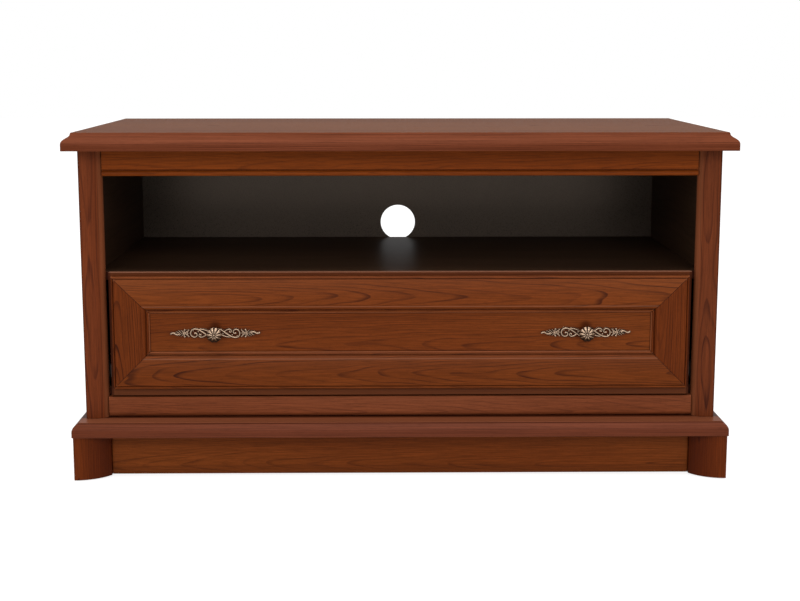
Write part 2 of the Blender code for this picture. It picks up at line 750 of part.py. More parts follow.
def build_drawer_box(drawer):
    box_y = (behind(BOX_FRONT_SETBACK), behind(RUNNER_END))
    for side, sign in SIDES:
        outline = drawer_side_outline(sign)
        ride_on(drawer, prism(f"{side}_drawer_side", LAMINATE, [outline], "Y", box_y))
    inner = BOX_INNER - FIT
    back_y = (box_y[1] - BOX_BOARD, box_y[1])
    back_z = (BOX_BOTTOM_TOP + FIT, BOX_TOP)
    back = box("drawer_back", LAMINATE, (-inner, inner), back_y, back_z)
    tongue = BOX_INNER + GROOVE_DEPTH - FIT
    bottom_z = (BOX_BOTTOM_UNDER, BOX_BOTTOM_TOP)
    bottom = box("drawer_bottom", BACK_FIBRE, (-tongue, tongue), box_y, bottom_z)
    stiffener_x = (-STIFFENER_WIDTH / 2, STIFFENER_WIDTH / 2)
    stiffener_z = (BOX_UNDER, BOX_BOTTOM_UNDER - FIT)
    stiffener = box("drawer_bottom_stiffener", SOFTWOOD, stiffener_x, box_y, stiffener_z)
    ride_on(drawer, back, bottom, stiffener)


def spiral(centre, radii, angles, steps):
    """Points on a flat spiral, from the first radius and angle in degrees to the last."""
    points = []
    for step in range(steps + 1):
        share = step / steps
        radius = radii[0] + (radii[1] - radii[0]) * share
        angle = math.radians(angles[0] + (angles[1] - angles[0]) * share)
        x = centre[0] + radius * math.cos(angle)
        points.append((x, centre[1] + radius * math.sin(angle)))
    return points


def scroll_tubes():
    """Centre lines of the round bars in one half of a handle plate, with a radius for each."""
    wire = SCROLL_WIRE
    eye = (SCROLL_REACH, 0.0)
    curl = spiral(eye, (SCROLL_RADIUS, 0.35 * SCROLL_RADIUS), (-115, 235), 18)
    stem = (0.75 * BOSS_RADIUS, 0.5 * BOSS_RADIUS)
    small_eye = (0.74 * SCROLL_REACH, 0.42 * SCROLL_RADIUS)
    small = spiral(small_eye, (0.42 * SCROLL_RADIUS, 0.2 * SCROLL_RADIUS), (215, -60), 8)
    branch = Vector(stem).lerp(Vector(curl[0]), 0.45)
    rib_start = SCROLL_REACH + 0.85 * SCROLL_RADIUS
    hook_radius = 0.3 * SCROLL_RADIUS
    hook_centre = (PLATE_REACH - hook_radius, -hook_radius)
    hook = spiral(hook_centre, (hook_radius, hook_radius), (100, -60), 5)
    tubes = [([stem, *curl], wire), ([branch, *small], 0.8 * wire)]
    tubes.append(([(rib_start, 0.0), *hook], 0.9 * wire))
    for share in (0.12, 0.19):
        x = rib_start + share * (PLATE_REACH - rib_start)
        bend = (COLLAR_RADIUS, COLLAR_RADIUS)
        tubes.append((arc((x + COLLAR_RADIUS, 0.0), bend, 151, 209, 4), 0.8 * wire))
    return tubes


def leaf_places():
    """Centre, slant in degrees and half length of each leaf and bead in one half of a handle plate."""
    start = SCROLL_REACH + SCROLL_RADIUS
    run = PLATE_REACH - start
    places = []
    for up in (-1, 1):
        bead = 0.29 * LEAF_LENGTH
        places.append(((start + 0.32 * run, up * bead), up * 90, bead))
        for share, size in ((0.47, 0.5), (0.60, 0.44), (0.72, 0.38)):
            half_length = size * LEAF_LENGTH
            places.append(((start + share * run, up * 0.62 * half_length), up * 40, half_length))
    return places


def leaf_mesh(name, centre, slant, half_length):
    bm = bmesh.new()
    bmesh.ops.create_uvsphere(bm, u_segments=8, v_segments=5, radius=1.0)
    shape = Matrix.Diagonal((half_length, LEAF_WIDTH / 2, PLATE_THICK / 2, 1.0))
    turn = Matrix.Rotation(math.radians(slant), 4, "Z")
    bm.transform(Matrix.Translation(Vector(centre).to_3d()) @ turn @ shape)
    return mesh_from(bm, name)


def handle_plate_mesh():
    """Both halves of the scrollwork joined to a round boss with the screw hole."""
    blanks = new_collection("scrollwork_blanks")
    outlines = [circle((0.0, 0.0), BOSS_RADIUS, 24)]
    outlines.append(circle((0.0, 0.0), SCREW_RADIUS + SCREW_CLEARANCE, 12))
    boss = bpy.data.objects.new("boss", outline_mesh("boss", outlines, PLATE_THICK))
    HELPERS.objects.link(boss)
    meshes = [tube_mesh("scroll", points, radius) for points, radius in scroll_tubes()]
    meshes += [leaf_mesh("leaf", *leaf) for leaf in leaf_places()]
    for half_turn in (0.0, math.pi):
        for mesh in meshes:
            piece = bpy.data.objects.new(mesh.name, mesh)
            piece.rotation_euler.z = half_turn
            blanks.objects.link(as_helper(piece))
    join = boss.modifiers.new("joined", "BOOLEAN")
    join.operation = "UNION"
    join.solver = "EXACT"
    join.operand_type = "COLLECTION"
    join.collection = blanks
    graph = bpy.context.evaluated_depsgraph_get()
    joined = bpy.data.meshes.new_from_object(boss.evaluated_get(graph))
    as_helper(boss)
    return joined


def knob_profile():
    """A waisted neck with a screw hole, and a domed head."""
    bore = SCREW_RADIUS + SCREW_CLEARANCE
    bore_depth = SCREW_GRIP + FIT
    shoulder = 0.55 * KNOB_REACH
    dome = KNOB_REACH - shoulder
    points = [(0.0, bore_depth), (bore, bore_depth), (bore, 0.0), (KNOB_NECK_RADIUS + KNOB_FLARE, 0.0)]
    points += [(KNOB_NECK_RADIUS, 0.2 * KNOB_REACH), (KNOB_NECK_RADIUS, 0.4 * KNOB_REACH)]
    points.append((0.8 * KNOB_RADIUS, shoulder))
    points += arc((0.0, shoulder + 0.15 * dome), (KNOB_RADIUS, 0.85 * dome), 0, 90, 6)[:-1]
    return points + [(0.0, KNOB_REACH)]


def petal_cutter(name):
    """Upright rods round a knob's rim, which leave its petals between them."""
    bm = bmesh.new()
    for petal in range(KNOB_PETALS):
        angle = 2 * math.pi * petal / KNOB_PETALS
        ring = 1.06 * KNOB_RADIUS
        spot = Vector((ring * math.cos(angle), ring * math.sin(angle), 0.75 * KNOB_REACH))
        bmesh.ops.create_cone(
            bm, cap_ends=True, segments=8, radius1=0.14 * KNOB_RADIUS, radius2=0.22 * KNOB_RADIUS,
            depth=0.8 * KNOB_REACH, matrix=Matrix.Translation(spot),
        )
    obj = bpy.data.objects.new(name, mesh_from(bm, name))
    HELPERS.objects.link(obj)
    return as_helper(obj)


def screw_profile():
    """A pan-head screw with its head behind the front board and its tip in the knob."""
    length = FRONT_BOARD + FIT + PLATE_THICK + FIT + SCREW_GRIP
    eased = SCREW_HEAD / 3
    points = [(0.0, -FIT - SCREW_HEAD), (SCREW_HEAD_RADIUS - eased, -FIT - SCREW_HEAD)]
    points += [(SCREW_HEAD_RADIUS, -FIT - SCREW_HEAD + eased), (SCREW_HEAD_RADIUS, -FIT)]
    return points + [(SCREW_RADIUS, -FIT), (SCREW_RADIUS, length), (0.0, length)]


def build_handles(drawer):
    outward = (math.pi / 2, 0.0, 0.0)
    board_back = behind(FRONT_BACK_SETBACK)
    board_face = behind(FRONT_FACE_SETBACK)
    plate_middle = board_face - FIT - PLATE_THICK / 2
    knob_seat = board_face - PLATE_THICK - 2 * FIT
    scrollwork = handle_plate_mesh()
    for side, sign in SIDES:
        x = sign * HANDLE_OUT
        plate = bpy.data.objects.new(f"{side}_handle_plate", scrollwork.copy())
        place(plate, PARTS, BRASS)
        plate.location = (x, plate_middle, HANDLE_HEIGHT)
        knob = turned(f"{side}_knob", BRASS, knob_profile(), steps=40)
        knob.location = (x, knob_seat, HANDLE_HEIGHT)
        cutter = petal_cutter(f"{side}_petal_cutter")
        cutter.location = knob.location
        cutter.rotation_euler = outward
        combine(knob, cutter, "DIFFERENCE")
        screw = turned(f"{side}_handle_screw", STEEL, screw_profile(), steps=16)
        screw.location = (x, board_back, HANDLE_HEIGHT)
        for piece in (plate, knob, screw):
            piece.rotation_euler = outward
        ride_on(drawer, plate, knob, screw)


def new_drawer_carrier():
    """The empty that carries every piece that slides out with the drawer."""
    carrier = bpy.data.objects.new("drawer_slide", None)
    carrier.location = (0.0, behind(FRONT_FACE_SETBACK), (FRONT_LOW + SHELF_TOP) / 2)
    PARTS.objects.link(carrier)
    return carrier


build_plates()
build_carcass()
build_rails()
build_plinth()
DRAWER = new_drawer_carrier()
build_runners(DRAWER)
build_drawer_front(DRAWER)
build_drawer_box(DRAWER)
build_handles(DRAWER)
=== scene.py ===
# A low tv cabinet in lacquered cherry veneer with an open niche above one wide drawer.
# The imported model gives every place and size, in metres, and each section below finishes some pieces.
import json
import math

import bmesh
import bpy
from mathutils import Matrix, Vector

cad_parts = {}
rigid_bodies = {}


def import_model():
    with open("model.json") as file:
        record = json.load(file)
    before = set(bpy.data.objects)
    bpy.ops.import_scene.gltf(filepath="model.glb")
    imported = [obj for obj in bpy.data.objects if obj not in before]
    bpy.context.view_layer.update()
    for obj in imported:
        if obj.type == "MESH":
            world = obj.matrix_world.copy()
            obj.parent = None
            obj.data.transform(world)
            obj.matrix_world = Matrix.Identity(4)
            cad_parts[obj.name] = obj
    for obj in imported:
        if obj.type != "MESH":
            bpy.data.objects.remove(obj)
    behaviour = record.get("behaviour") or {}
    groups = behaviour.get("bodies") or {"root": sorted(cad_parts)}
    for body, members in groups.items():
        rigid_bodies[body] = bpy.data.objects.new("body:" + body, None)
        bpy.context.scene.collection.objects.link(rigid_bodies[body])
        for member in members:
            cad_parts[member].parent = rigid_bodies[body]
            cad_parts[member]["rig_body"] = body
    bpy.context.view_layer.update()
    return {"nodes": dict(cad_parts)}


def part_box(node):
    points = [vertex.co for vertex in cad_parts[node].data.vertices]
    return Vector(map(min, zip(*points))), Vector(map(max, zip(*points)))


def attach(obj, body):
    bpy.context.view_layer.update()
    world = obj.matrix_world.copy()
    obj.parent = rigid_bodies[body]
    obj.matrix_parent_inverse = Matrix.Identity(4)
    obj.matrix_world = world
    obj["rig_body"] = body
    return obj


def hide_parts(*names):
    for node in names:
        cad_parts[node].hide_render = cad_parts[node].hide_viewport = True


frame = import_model()
nodes = frame["nodes"]

# Plinth: four corner feet, four boards and a cross brace under the base plate.
# They are board veneered in cherry, with the grain upright on the feet and level on the boards.
# The front feet have a hollow curve sawn under their inner ends and stand on plastic glides.
CHERRY_PALE = (113, 55, 19)
CHERRY_WARM = (104, 48, 15)
CHERRY_LINE = (58, 23, 9)
CHERRY_PORE = (50, 19, 7)
CHERRY_GLOSS = 0.045
# Painted light for the cherry: a painted shade for corners, quirks and edges (and the real glaze in the
# mitres), and a painted highlight for beads, arrises and lit faces.
SHADE_AND_GLAZE = (46, 9, 1)
PAINTED_HIGHLIGHT_WOOD = (186, 116, 78)
PAINTED_HIGHLIGHT_SHARE = 0.26


def paint(red, green, blue):
    """A colour read off a paint card, as the light that it gives back."""
    channels = []
    for value in (red, green, blue):
        share = value / 255
        channels.append(share / 12.92 if share <= 0.04045 else ((share + 0.055) / 1.055) ** 2.4)
    return (*channels, 1.0)


def toned(colour, tone):
    """A colour made deeper or paler in each channel."""
    return paint(*(channel * share for channel, share in zip(colour, tone)))


def feed(tree, node, feeds):
    """Gives each socket named in feeds a plain value or another node's output."""
    for key, value in feeds.items():
        if isinstance(value, bpy.types.NodeSocket):
            tree.links.new(value, node.inputs[key])
        else:
            node.inputs[key].default_value = value


def add_node(tree, kind, settings, feeds):
    """Adds a node with its settings and what its sockets take."""
    node = tree.nodes.new(kind)
    for label, value in settings.items():
        setattr(node, label, value)
    feed(tree, node, feeds)
    return node


def reckon(tree, operation, *values):
    """The result of one sum on numbers or outputs."""
    feeds = dict(enumerate(values))
    return add_node(tree, "ShaderNodeMath", {"operation": operation}, feeds).outputs[0]


def reckon_all(tree, operation, feeds):
    """The result of one sum on three measures, or three channels of a colour, at a time."""
    return add_node(tree, "ShaderNodeVectorMath", {"operation": operation}, feeds).outputs[0]


def spread(tree, value, low, high, least=0.0, most=1.0):
    """Value eased from low..high to least..most."""
    feeds = {"Value": value, "From Min": low, "From Max": high, "To Min": least, "To Max": most}
    return add_node(tree, "ShaderNodeMapRange", {"interpolation_type": "SMOOTHSTEP"}, feeds).outputs[0]


def straight_line(tree, across, up):
    """The straight distance that two legs at a right angle span."""
    squares = [reckon(tree, "MULTIPLY", leg, leg) for leg in (across, up)]
    return reckon(tree, "SQRT", reckon(tree, "ADD", *squares))


def blended(tree, share, first, second):
    """Two colours mixed by share."""
    settings = {"data_type": "RGBA", "blend_type": "MIX"}
    return add_node(tree, "ShaderNodeMix", settings, {0: share, 6: first, 7: second}).outputs[2]


def own_place(tree):
    """A point's place on its piece, in metres."""
    return tree.nodes.new("ShaderNodeTexCoord").outputs["Object"]


def split(tree, place):
    """A place as its three measures."""
    return add_node(tree, "ShaderNodeSeparateXYZ", {}, {0: place}).outputs


def stretched_noise(tree, place, waves, detail):
    """Soft noise, with its own number of waves to the metre along, across and into the board."""
    scaled = reckon_all(tree, "MULTIPLY", {0: place, 1: waves})
    feeds = {"Vector": scaled, "Scale": 1.0, "Detail": detail, "Roughness": 0.55}
    return add_node(tree, "ShaderNodeTexNoise", {}, feeds).outputs


def node_group(name, inputs, outputs):
    """An empty node group with named sockets, and its two end nodes."""
    tree = bpy.data.node_groups.new(name, "ShaderNodeTree")
    for label, kind, value in inputs:
        socket = tree.interface.new_socket(label, in_out="INPUT", socket_type=kind)
        if value is not None:
            socket.default_value = value
    for label, kind in outputs:
        tree.interface.new_socket(label, in_out="OUTPUT", socket_type=kind)
    return tree, tree.nodes.new("NodeGroupInput").outputs, tree.nodes.new("NodeGroupOutput").inputs


# Waves to the metre in each part of the grain: along it, across the face and into the board.
SLOW_WANDER = (1.9, 3.0, 3.0)
RING_RIPPLE = (6.0, 30.0, 30.0)
LINE_FADING = (5.0, 110.0, 110.0)
FINE_FIBRE = (6.0, 560.0, 560.0)
SOFT_STREAKS = (2.6, 150.0, 150.0)
OPEN_PORES = (60.0, 2300.0, 2300.0)
BROAD_CLOUDS = (1.2, 9.0, 9.0)
# How much of the wander goes each of those ways, and how dark the pores are.
WANDER_SHARES = (0.0, 1.6, 2.0)
PORE_WEIGHT = 0.40


def ring_turns(tree, given):
    """How many year rings lie between a point and the heart, which wanders along the board."""
    place = given["Place"]
    slow = stretched_noise(tree, place, SLOW_WANDER, 1.0)["Color"]
    centred = reckon_all(tree, "SUBTRACT", {0: slow, 1: (0.5, 0.5, 0.5)})
    wander = reckon_all(tree, "SCALE", {0: centred, "Scale": given["Wander"]})
    moved = split(tree, reckon_all(tree, "MULTIPLY_ADD", {0: wander, 1: WANDER_SHARES, 2: place}))
    depth = reckon(tree, "ADD", moved["Z"], given["Heart Depth"])
    turns = reckon(tree, "DIVIDE", straight_line(tree, moved["Y"], depth), given["Ring Spacing"])
    ripple = stretched_noise(tree, place, RING_RIPPLE, 1.0)[0]
    return reckon(tree, "ADD", turns, reckon(tree, "MULTIPLY", ripple, given["Ripple"]))


def late_wood(tree, given):
    """The dark line that ends each year's ring, strong in some years and faint in others."""
    turns = ring_turns(tree, given)
    ring = reckon(tree, "FRACT", turns)
    year = add_node(tree, "ShaderNodeTexWhiteNoise", {"noise_dimensions": "1D"},
                    {"W": reckon(tree, "FLOOR", turns)}).outputs["Value"]
    fading = stretched_noise(tree, given["Place"], LINE_FADING, 1.0)[0]
    late = reckon(tree, "MULTIPLY", spread(tree, ring, 0.62, 0.94), spread(tree, ring, 0.94, 1.0, 1.0, 0.0))
    late = reckon(tree, "MULTIPLY", late, spread(tree, year, 0.1, 0.9, 0.30, 1.0))
    late = reckon(tree, "MULTIPLY", late, spread(tree, fading, 0.30, 0.62, 0.35, 1.0))
    return reckon(tree, "MULTIPLY", late, given["Line Weight"])


def make_figured_wood():
    """Flat-cut grain: rings round a heart under the face, which come out as long arches and fine lines."""
    number, colour = "NodeSocketFloat", "NodeSocketColor"
    inputs = (
        ("Place", "NodeSocketVector", None),
        ("Ring Spacing", number, 0.0036),
        ("Heart Depth", number, 0.030),
        ("Wander", number, 0.013),
        ("Ripple", number, 2.2),
        ("Line Weight", number, 0.80),
        ("Pale", colour, paint(*CHERRY_PALE)),
        ("Warm", colour, paint(*CHERRY_WARM)),
        ("Line", colour, paint(*CHERRY_LINE)),
        ("Pore", colour, paint(*CHERRY_PORE)),
    )
    outputs = (("Colour", colour), ("Roughness", number), ("Height", number))
    tree, given, result = node_group("figured_wood", inputs, outputs)
    place = given["Place"]
    line = late_wood(tree, given)
    fibre = stretched_noise(tree, place, FINE_FIBRE, 2.0)[0]
    streaks = stretched_noise(tree, place, SOFT_STREAKS, 2.0)[0]
    pores = spread(tree, stretched_noise(tree, place, OPEN_PORES, 1.0)[0], 0.58, 0.72)
    broad = stretched_noise(tree, place, BROAD_CLOUDS, 1.0)[0]
    shade = blended(tree, spread(tree, broad, 0.3, 0.7), given["Pale"], given["Warm"])
    shade = blended(tree, line, shade, given["Line"])
    streak = reckon(tree, "MULTIPLY", spread(tree, fibre, 0.25, 0.75, 0.80, 1.18),
                    spread(tree, streaks, 0.3, 0.7, 0.93, 1.06))
    shade = reckon_all(tree, "SCALE", {0: shade, "Scale": streak})
    shade = blended(tree, reckon(tree, "MULTIPLY", pores, PORE_WEIGHT), shade, given["Pore"])
    rough = reckon(tree, "MULTIPLY_ADD", line, 0.10, reckon(tree, "MULTIPLY_ADD", pores, 0.08, 0.40))
    sunk = reckon(tree, "MULTIPLY_ADD", line, 0.2, pores)
    height = reckon(tree, "SUBTRACT", reckon(tree, "MULTIPLY", fibre, 0.25), sunk)
    for label, output in (("Colour", shade), ("Roughness", rough), ("Height", height)):
        tree.links.new(output, result[label])
    return tree


def make_shade_and_highlight_group():
    """Painted shade and highlight on a moulding: dark in quirks and corners, pale on beads and arrises,
    both found by occlusion.
    """
    number = "NodeSocketFloat"
    inputs = (("Reach", number, 0.004), ("Ridge Reach", number, 0.0024))
    tree, given, result = node_group("painted_shade_and_highlight", inputs, (("Corner Shade", number), ("Ridge Highlight", number)))
    for label, inside, reach, low, high in (("Corner Shade", False, "Reach", 0.24, 0.62),
                                            ("Ridge Highlight", True, "Ridge Reach", 0.28, 0.62)):
        settings = {"samples": 8, "only_local": True, "inside": inside}
        open_sky = add_node(tree, "ShaderNodeAmbientOcclusion", settings, {"Distance": given[reach]})
        shut_in = reckon(tree, "SUBTRACT", 1.0, open_sky.outputs["AO"])
        tree.links.new(spread(tree, shut_in, low, high), result[label])
    return tree


figured_wood = make_figured_wood()
painted_shade_and_highlight = make_shade_and_highlight_group()


def principled(name):
    """A fresh material, its tree and its shader."""
    material = bpy.data.materials.new(name)
    material.use_nodes = True
    return material, material.node_tree, material.node_tree.nodes["Principled BSDF"]


def board_place(tree, grain, centre, shift, rise=0.0):
    """Where a point lies on its own board: along the grain, across the face and into it.

    Rise is how fast the heart comes up to the face along the board."""
    back = tuple(-value for value in centre)
    moved = add_node(tree, "ShaderNodeMapping", {}, {"Vector": own_place(tree), "Location": back})
    parts = split(tree, moved.outputs[0])
    own = add_node(tree, "ShaderNodeCombineXYZ", {}, dict(enumerate(parts[axis] for axis in grain)))
    tilt = {"Vector": own.outputs[0], "Location": shift, "Rotation": (0.0, rise, 0.0)}
    return add_node(tree, "ShaderNodeMapping", {}, tilt).outputs[0]


def bumped(tree, shader, height, distance, strength):
    """Feeds a height into the shader's normal."""
    feeds = {"Height": height, "Distance": distance, "Strength": strength}
    feed(tree, shader, {"Normal": add_node(tree, "ShaderNodeBump", {}, feeds).outputs[0]})


def wood(name, place, values, gloss, painted_highlight=PAINTED_HIGHLIGHT_SHARE, corner_shading=1.0):
    """One board's own wood. Place gives, for a material's tree, the point on the board."""
    material, tree, shader = principled(name)
    figure = add_node(tree, "ShaderNodeGroup", {"node_tree": figured_wood},
                      {"Place": place(tree), **values}).outputs
    # Painted shade darkens corners and a painted highlight lightens ridges over the grain; glaze and bare
    # are their shares.
    painted_light = add_node(tree, "ShaderNodeGroup", {"node_tree": painted_shade_and_highlight}, {}).outputs
    glaze = reckon(tree, "MULTIPLY", painted_light["Corner Shade"], corner_shading)
    bare = reckon(tree, "MULTIPLY", painted_light["Ridge Highlight"], painted_highlight)
    shade = blended(tree, glaze, figure["Colour"], paint(*SHADE_AND_GLAZE))
    shade = blended(tree, bare, shade, paint(*PAINTED_HIGHLIGHT_WOOD))
    feed(tree, shader, {"Base Color": shade, "Roughness": figure["Roughness"], "Specular IOR Level": gloss})
    bumped(tree, shader, figure["Height"], distance=0.00008, strength=0.35)
    return material


# The axis along the grain, the axis across it on the face, and the axis into the board.
UPRIGHT, LEVEL, FLAT, CROSSWISE = "ZXY", "XZY", "XYZ", "YXZ"
SIDE_LEVEL, SIDE_UPRIGHT = "YZX", "ZYX"
HEART_RISE = 0.036
LEAF_STEP = 1.37
leaves_cut = []


def next_leaf(node):
    """Counts the leaves in the order that they are cut."""
    leaves_cut.append(node)
    return len(leaves_cut)


def centre_of(node):
    """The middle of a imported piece."""
    low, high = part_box(node)
    return (low + high) / 2


def cherry(node, grain, off_heart=0.0, label="", gloss=CHERRY_GLOSS, tone=(1.0, 1.0, 1.0), slope=HEART_RISE,
           corner_shading=1.0, **values):
    """Cherry veneer cut for one piece: no two leaves show the same stretch of grain."""
    number = next_leaf(node)
    centre = centre_of(node)
    shift = (LEAF_STEP * number, off_heart, 0.002 * (number % 5))
    rise = slope if number % 2 else -slope
    figures = {name.replace("_", " ").title(): value for name, value in values.items()}
    figures.update({"Pale": toned(CHERRY_PALE, tone), "Warm": toned(CHERRY_WARM, tone),
                    "Line": toned(CHERRY_LINE, tone), "Pore": toned(CHERRY_PORE, tone)})
    return wood("cherry_" + node + label, lambda tree: board_place(tree, grain, centre, shift, rise),
                figures, gloss, corner_shading=corner_shading)


ARRIS_ANGLE = math.radians(32)
ARRIS_EASE = 0.0005
WELD_DISTANCE = 0.000002
FLAT_ANGLE = math.radians(0.2)


def weld(mesh):
    """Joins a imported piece's loose triangles into one skin of whole faces."""
    if "custom_normal" in mesh.attributes:
        mesh.attributes.remove(mesh.attributes["custom_normal"])
    shell = bmesh.new()
    shell.from_mesh(mesh)
    bmesh.ops.remove_doubles(shell, verts=shell.verts, dist=WELD_DISTANCE)
    bmesh.ops.dissolve_limit(shell, angle_limit=FLAT_ANGLE, verts=shell.verts, edges=shell.edges)
    shell.to_mesh(mesh)
    shell.free()


def loose_object(name, mesh):
    """A mesh as an object at the origin."""
    made = bpy.data.objects.new(name, mesh)
    bpy.context.scene.collection.objects.link(made)
    return made


def modified(made, name, kind, **settings):
    """Adds a modifier with its settings."""
    modifier = made.modifiers.new(name, kind)
    for label, value in settings.items():
        setattr(modifier, label, value)
    return modifier


def finished(node, materials, ease=ARRIS_EASE, choose=None):
    """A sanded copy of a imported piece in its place: eased arrises and smooth rounded faces."""
    mesh = nodes[node].data.copy()
    weld(mesh)
    mesh.materials.clear()
    for material in materials:
        mesh.materials.append(material)
    for face in mesh.polygons:
        face.use_smooth = True
        face.material_index = choose(face) if choose else 0
    mesh.set_sharp_from_angle(angle=ARRIS_ANGLE)
    piece = loose_object(node + "_finished", mesh)
    modified(piece, "eased_arrises", "BEVEL", width=ease, segments=2, limit_method="ANGLE",
             angle_limit=ARRIS_ANGLE)
    modified(piece, "joined_corners", "WELD", merge_threshold=WELD_DISTANCE)
    modified(piece, "flat_faces", "WEIGHTED_NORMAL", keep_sharp=True, weight=80)
    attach(piece, nodes[node]["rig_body"])
    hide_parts(node)
    return piece


def stained(material, colour, share):
    """Lays a colour over a finished material, used for stains and for painted light and shade. Share gives,
    from a point's place, how much of it stays.
    """
    tree = material.node_tree
    shader = tree.nodes["Principled BSDF"]
    bare = shader.inputs["Base Color"].links[0].from_socket
    shade = blended(tree, share(tree, split(tree, own_place(tree))), bare, paint(*colour))
    feed(tree, shader, {"Base Color": shade})
    return material


def band(axis, start, full, most=1.0):
    """A laid colour's share along one axis: nothing at start, and most of it at full.

    Left and right are alike, so X counts from the middle to either side."""

    def share(tree, spot):
        place = reckon(tree, "ABSOLUTE", spot["X"]) if axis == "X" else spot[axis]
        return spread(tree, place, start, full, 0.0, most)

    return share


FOOT_TONE = (0.86, 0.77, 0.64)
FOOT_SHADE = (56, 14, 2)
foot_low, foot_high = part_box("right_front_foot")
# Painted shade: the feet get darker towards the inner end of their curve, as under the base plate's
# overhang.
towards_inner_end = band("X", foot_high.x - 0.011, foot_low.x + 0.0055, 0.62)
for side in ("left", "right"):
    for end in ("front", "rear"):
        foot = f"{side}_{end}_foot"
        leaf = cherry(foot, UPRIGHT, 0.02, tone=FOOT_TONE)
        finished(foot, [stained(leaf, FOOT_SHADE, towards_inner_end)])

PLINTH_TONE = (0.98, 0.99, 1.0)
PLINTH_SHADE = (60, 26, 10)
PLINTH_BAND = 0.018
along_lower_edge = band("Z", PLINTH_BAND + 0.001, PLINTH_BAND - 0.001, 0.22)
for board in ("plinth_front_board", "plinth_rear_board"):
    leaf = cherry(board, LEVEL, 0.020, tone=PLINTH_TONE, line_weight=0.55, ring_spacing=0.0028)
    finished(board, [stained(leaf, PLINTH_SHADE, along_lower_edge)])
for board in ("plinth_left_board", "plinth_right_board", "plinth_centre_brace"):
    finished(board, [cherry(board, SIDE_LEVEL, 0.01)])

# Glides: round brown plastic buttons pressed under the four feet, moulded with a faint stipple.
# They carry the cabinet and let it be pushed along a floor.
GLIDE_BROWN = (52, 36, 26)
GLIDE_EASE = 0.0004
MOULD_CLOUDS = 90.0


def even_noise(tree, place, waves, detail):
    """Soft noise with the same number of waves to the metre every way."""
    feeds = {"Vector": place, "Scale": waves, "Detail": detail}
    return add_node(tree, "ShaderNodeTexNoise", {}, feeds).outputs[0]


def moulded_plastic(name, colour, roughness, stipple):
    """Moulded plastic with a fine spark-eroded stipple and a little change of gloss."""
    material, tree, shader = principled(name)
    spot = own_place(tree)
    cloud = even_noise(tree, spot, MOULD_CLOUDS, 3.0)
    shade = blended(tree, spread(tree, cloud, 0.3, 0.7), toned(colour, (0.9, 0.9, 0.9)), paint(*colour))
    rough = spread(tree, cloud, 0.3, 0.7, roughness - 0.06, roughness + 0.06)
    feed(tree, shader, {"Base Color": shade, "Roughness": rough})
    bumped(tree, shader, even_noise(tree, spot, stipple, 2.0), distance=0.00005, strength=0.4)
    return material


brown_plastic = moulded_plastic("brown_glide_plastic", GLIDE_BROWN, roughness=0.48, stipple=2600.0)
for side in ("left", "right"):
    for end in ("front", "rear"):
        finished(f"{side}_{end}_glide", [brown_plastic], GLIDE_EASE)

# Base plate: a thick veneered board with a stepped quarter-round moulding on its front and two ends.
# It is screwed down on the plinth. The end mouldings are mitred, so their grain runs front to back.
# The base plate's blue-heavy tones stand partly for a painted sheen on its top and moulding.
BASE_FACE_TONE = (0.87, 0.92, 1.70)
BASE_EDGE_TONE = (0.91, 0.97, 1.85)
BASE_STEP = 0.0015
UNDERSIDE_SHADE = (66, 22, 4)
base_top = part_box("base_plate")[1].z
rail_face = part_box("bottom_rail")[0].y


def moulding_leaf(face):
    """The flat face takes the first leaf, the end mouldings the second and the front moulding the third."""
    if abs(face.normal.x) > max(0.05, abs(face.normal.y)):
        return 1
    return 2 if face.normal.y < -0.05 else 0


def moulded_board(node, face_tone, edge_tone, gloss, dress):
    """A wide board with mouldings mitred at the corners. Dress lays the last colours on each leaf, painted
    shade and highlights among them.
    """
    leaves = [
        cherry(node, FLAT, 0.03, "_face", gloss, face_tone, heart_depth=0.055),
        cherry(node, CROSSWISE, 0.04, "_end", gloss, edge_tone, heart_depth=0.055),
        cherry(node, LEVEL, 0.052, "_front", gloss, edge_tone, slope=0.004, heart_depth=0.30,
               ring_spacing=0.0030, wander=0.004, ripple=0.9),
    ]
    finished(node, [dress(leaf) for leaf in leaves], choose=moulding_leaf)


def shaded_lower_face(node, start, full, most):
    """Painted shade on a moulding's lower face, darker than its curve, between two depths below the board's
    top.
    """
    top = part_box(node)[1].z
    return band("Z", top - start, top - full, most)


def step_share(tree, spot):
    """Painted shade: a dark line in the step over the quarter-round."""
    off_line = reckon(tree, "ABSOLUTE", reckon(tree, "SUBTRACT", spot["Z"], base_top - BASE_STEP))
    return spread(tree, off_line, 0.0010, 0.0005, 0.0, 0.45)


def dressed_base(leaf):
    """The base plate's painted light: a painted highlight on the flat, and painted shade in the step,
    beside the rail and on the lower face.
    """
    stained(leaf, PAINTED_HIGHLIGHT_WOOD, band("Z", base_top - 0.0008, base_top - 0.0004, 0.14))
    stained(leaf, SHADE_AND_GLAZE, step_share)
    stained(leaf, SHADE_AND_GLAZE, band("Y", rail_face - 0.009, rail_face - 0.003, 0.75))
    return stained(leaf, UNDERSIDE_SHADE, shaded_lower_face("base_plate", start=0.0055, full=0.0155, most=0.22))


moulded_board("base_plate", BASE_FACE_TONE, BASE_EDGE_TONE, CHERRY_GLOSS, dressed_base)

# Carcass boards: two sides, the bottom and the niche shelf, in board faced with dark semi-gloss laminate.
# The laminate is printed with a faint straight grain. A strip of cherry veneer bands the front
# edges, toned very dark as painted shade for the gaps round the drawer where they show,
# and the outer faces of the sides are veneered in cherry.
LAMINATE_PALE = (58, 41, 29)
LAMINATE_WARM = (50, 34, 24)
LAMINATE_LINE = (36, 24, 16)
LAMINATE_GLOSS = 0.008
LAMINATE_TINT = (1.0, 0.80, 0.70, 1.0)
SHADED_BAND_TONE = (0.42, 0.24, 0.10)
laminate_values = {
    "Ring Spacing": 0.010, "Heart Depth": 0.25, "Wander": 0.02, "Line Weight": 0.35,
    "Pale": paint(*LAMINATE_PALE), "Warm": paint(*LAMINATE_WARM),
    "Line": paint(*LAMINATE_LINE), "Pore": paint(*LAMINATE_LINE),
}


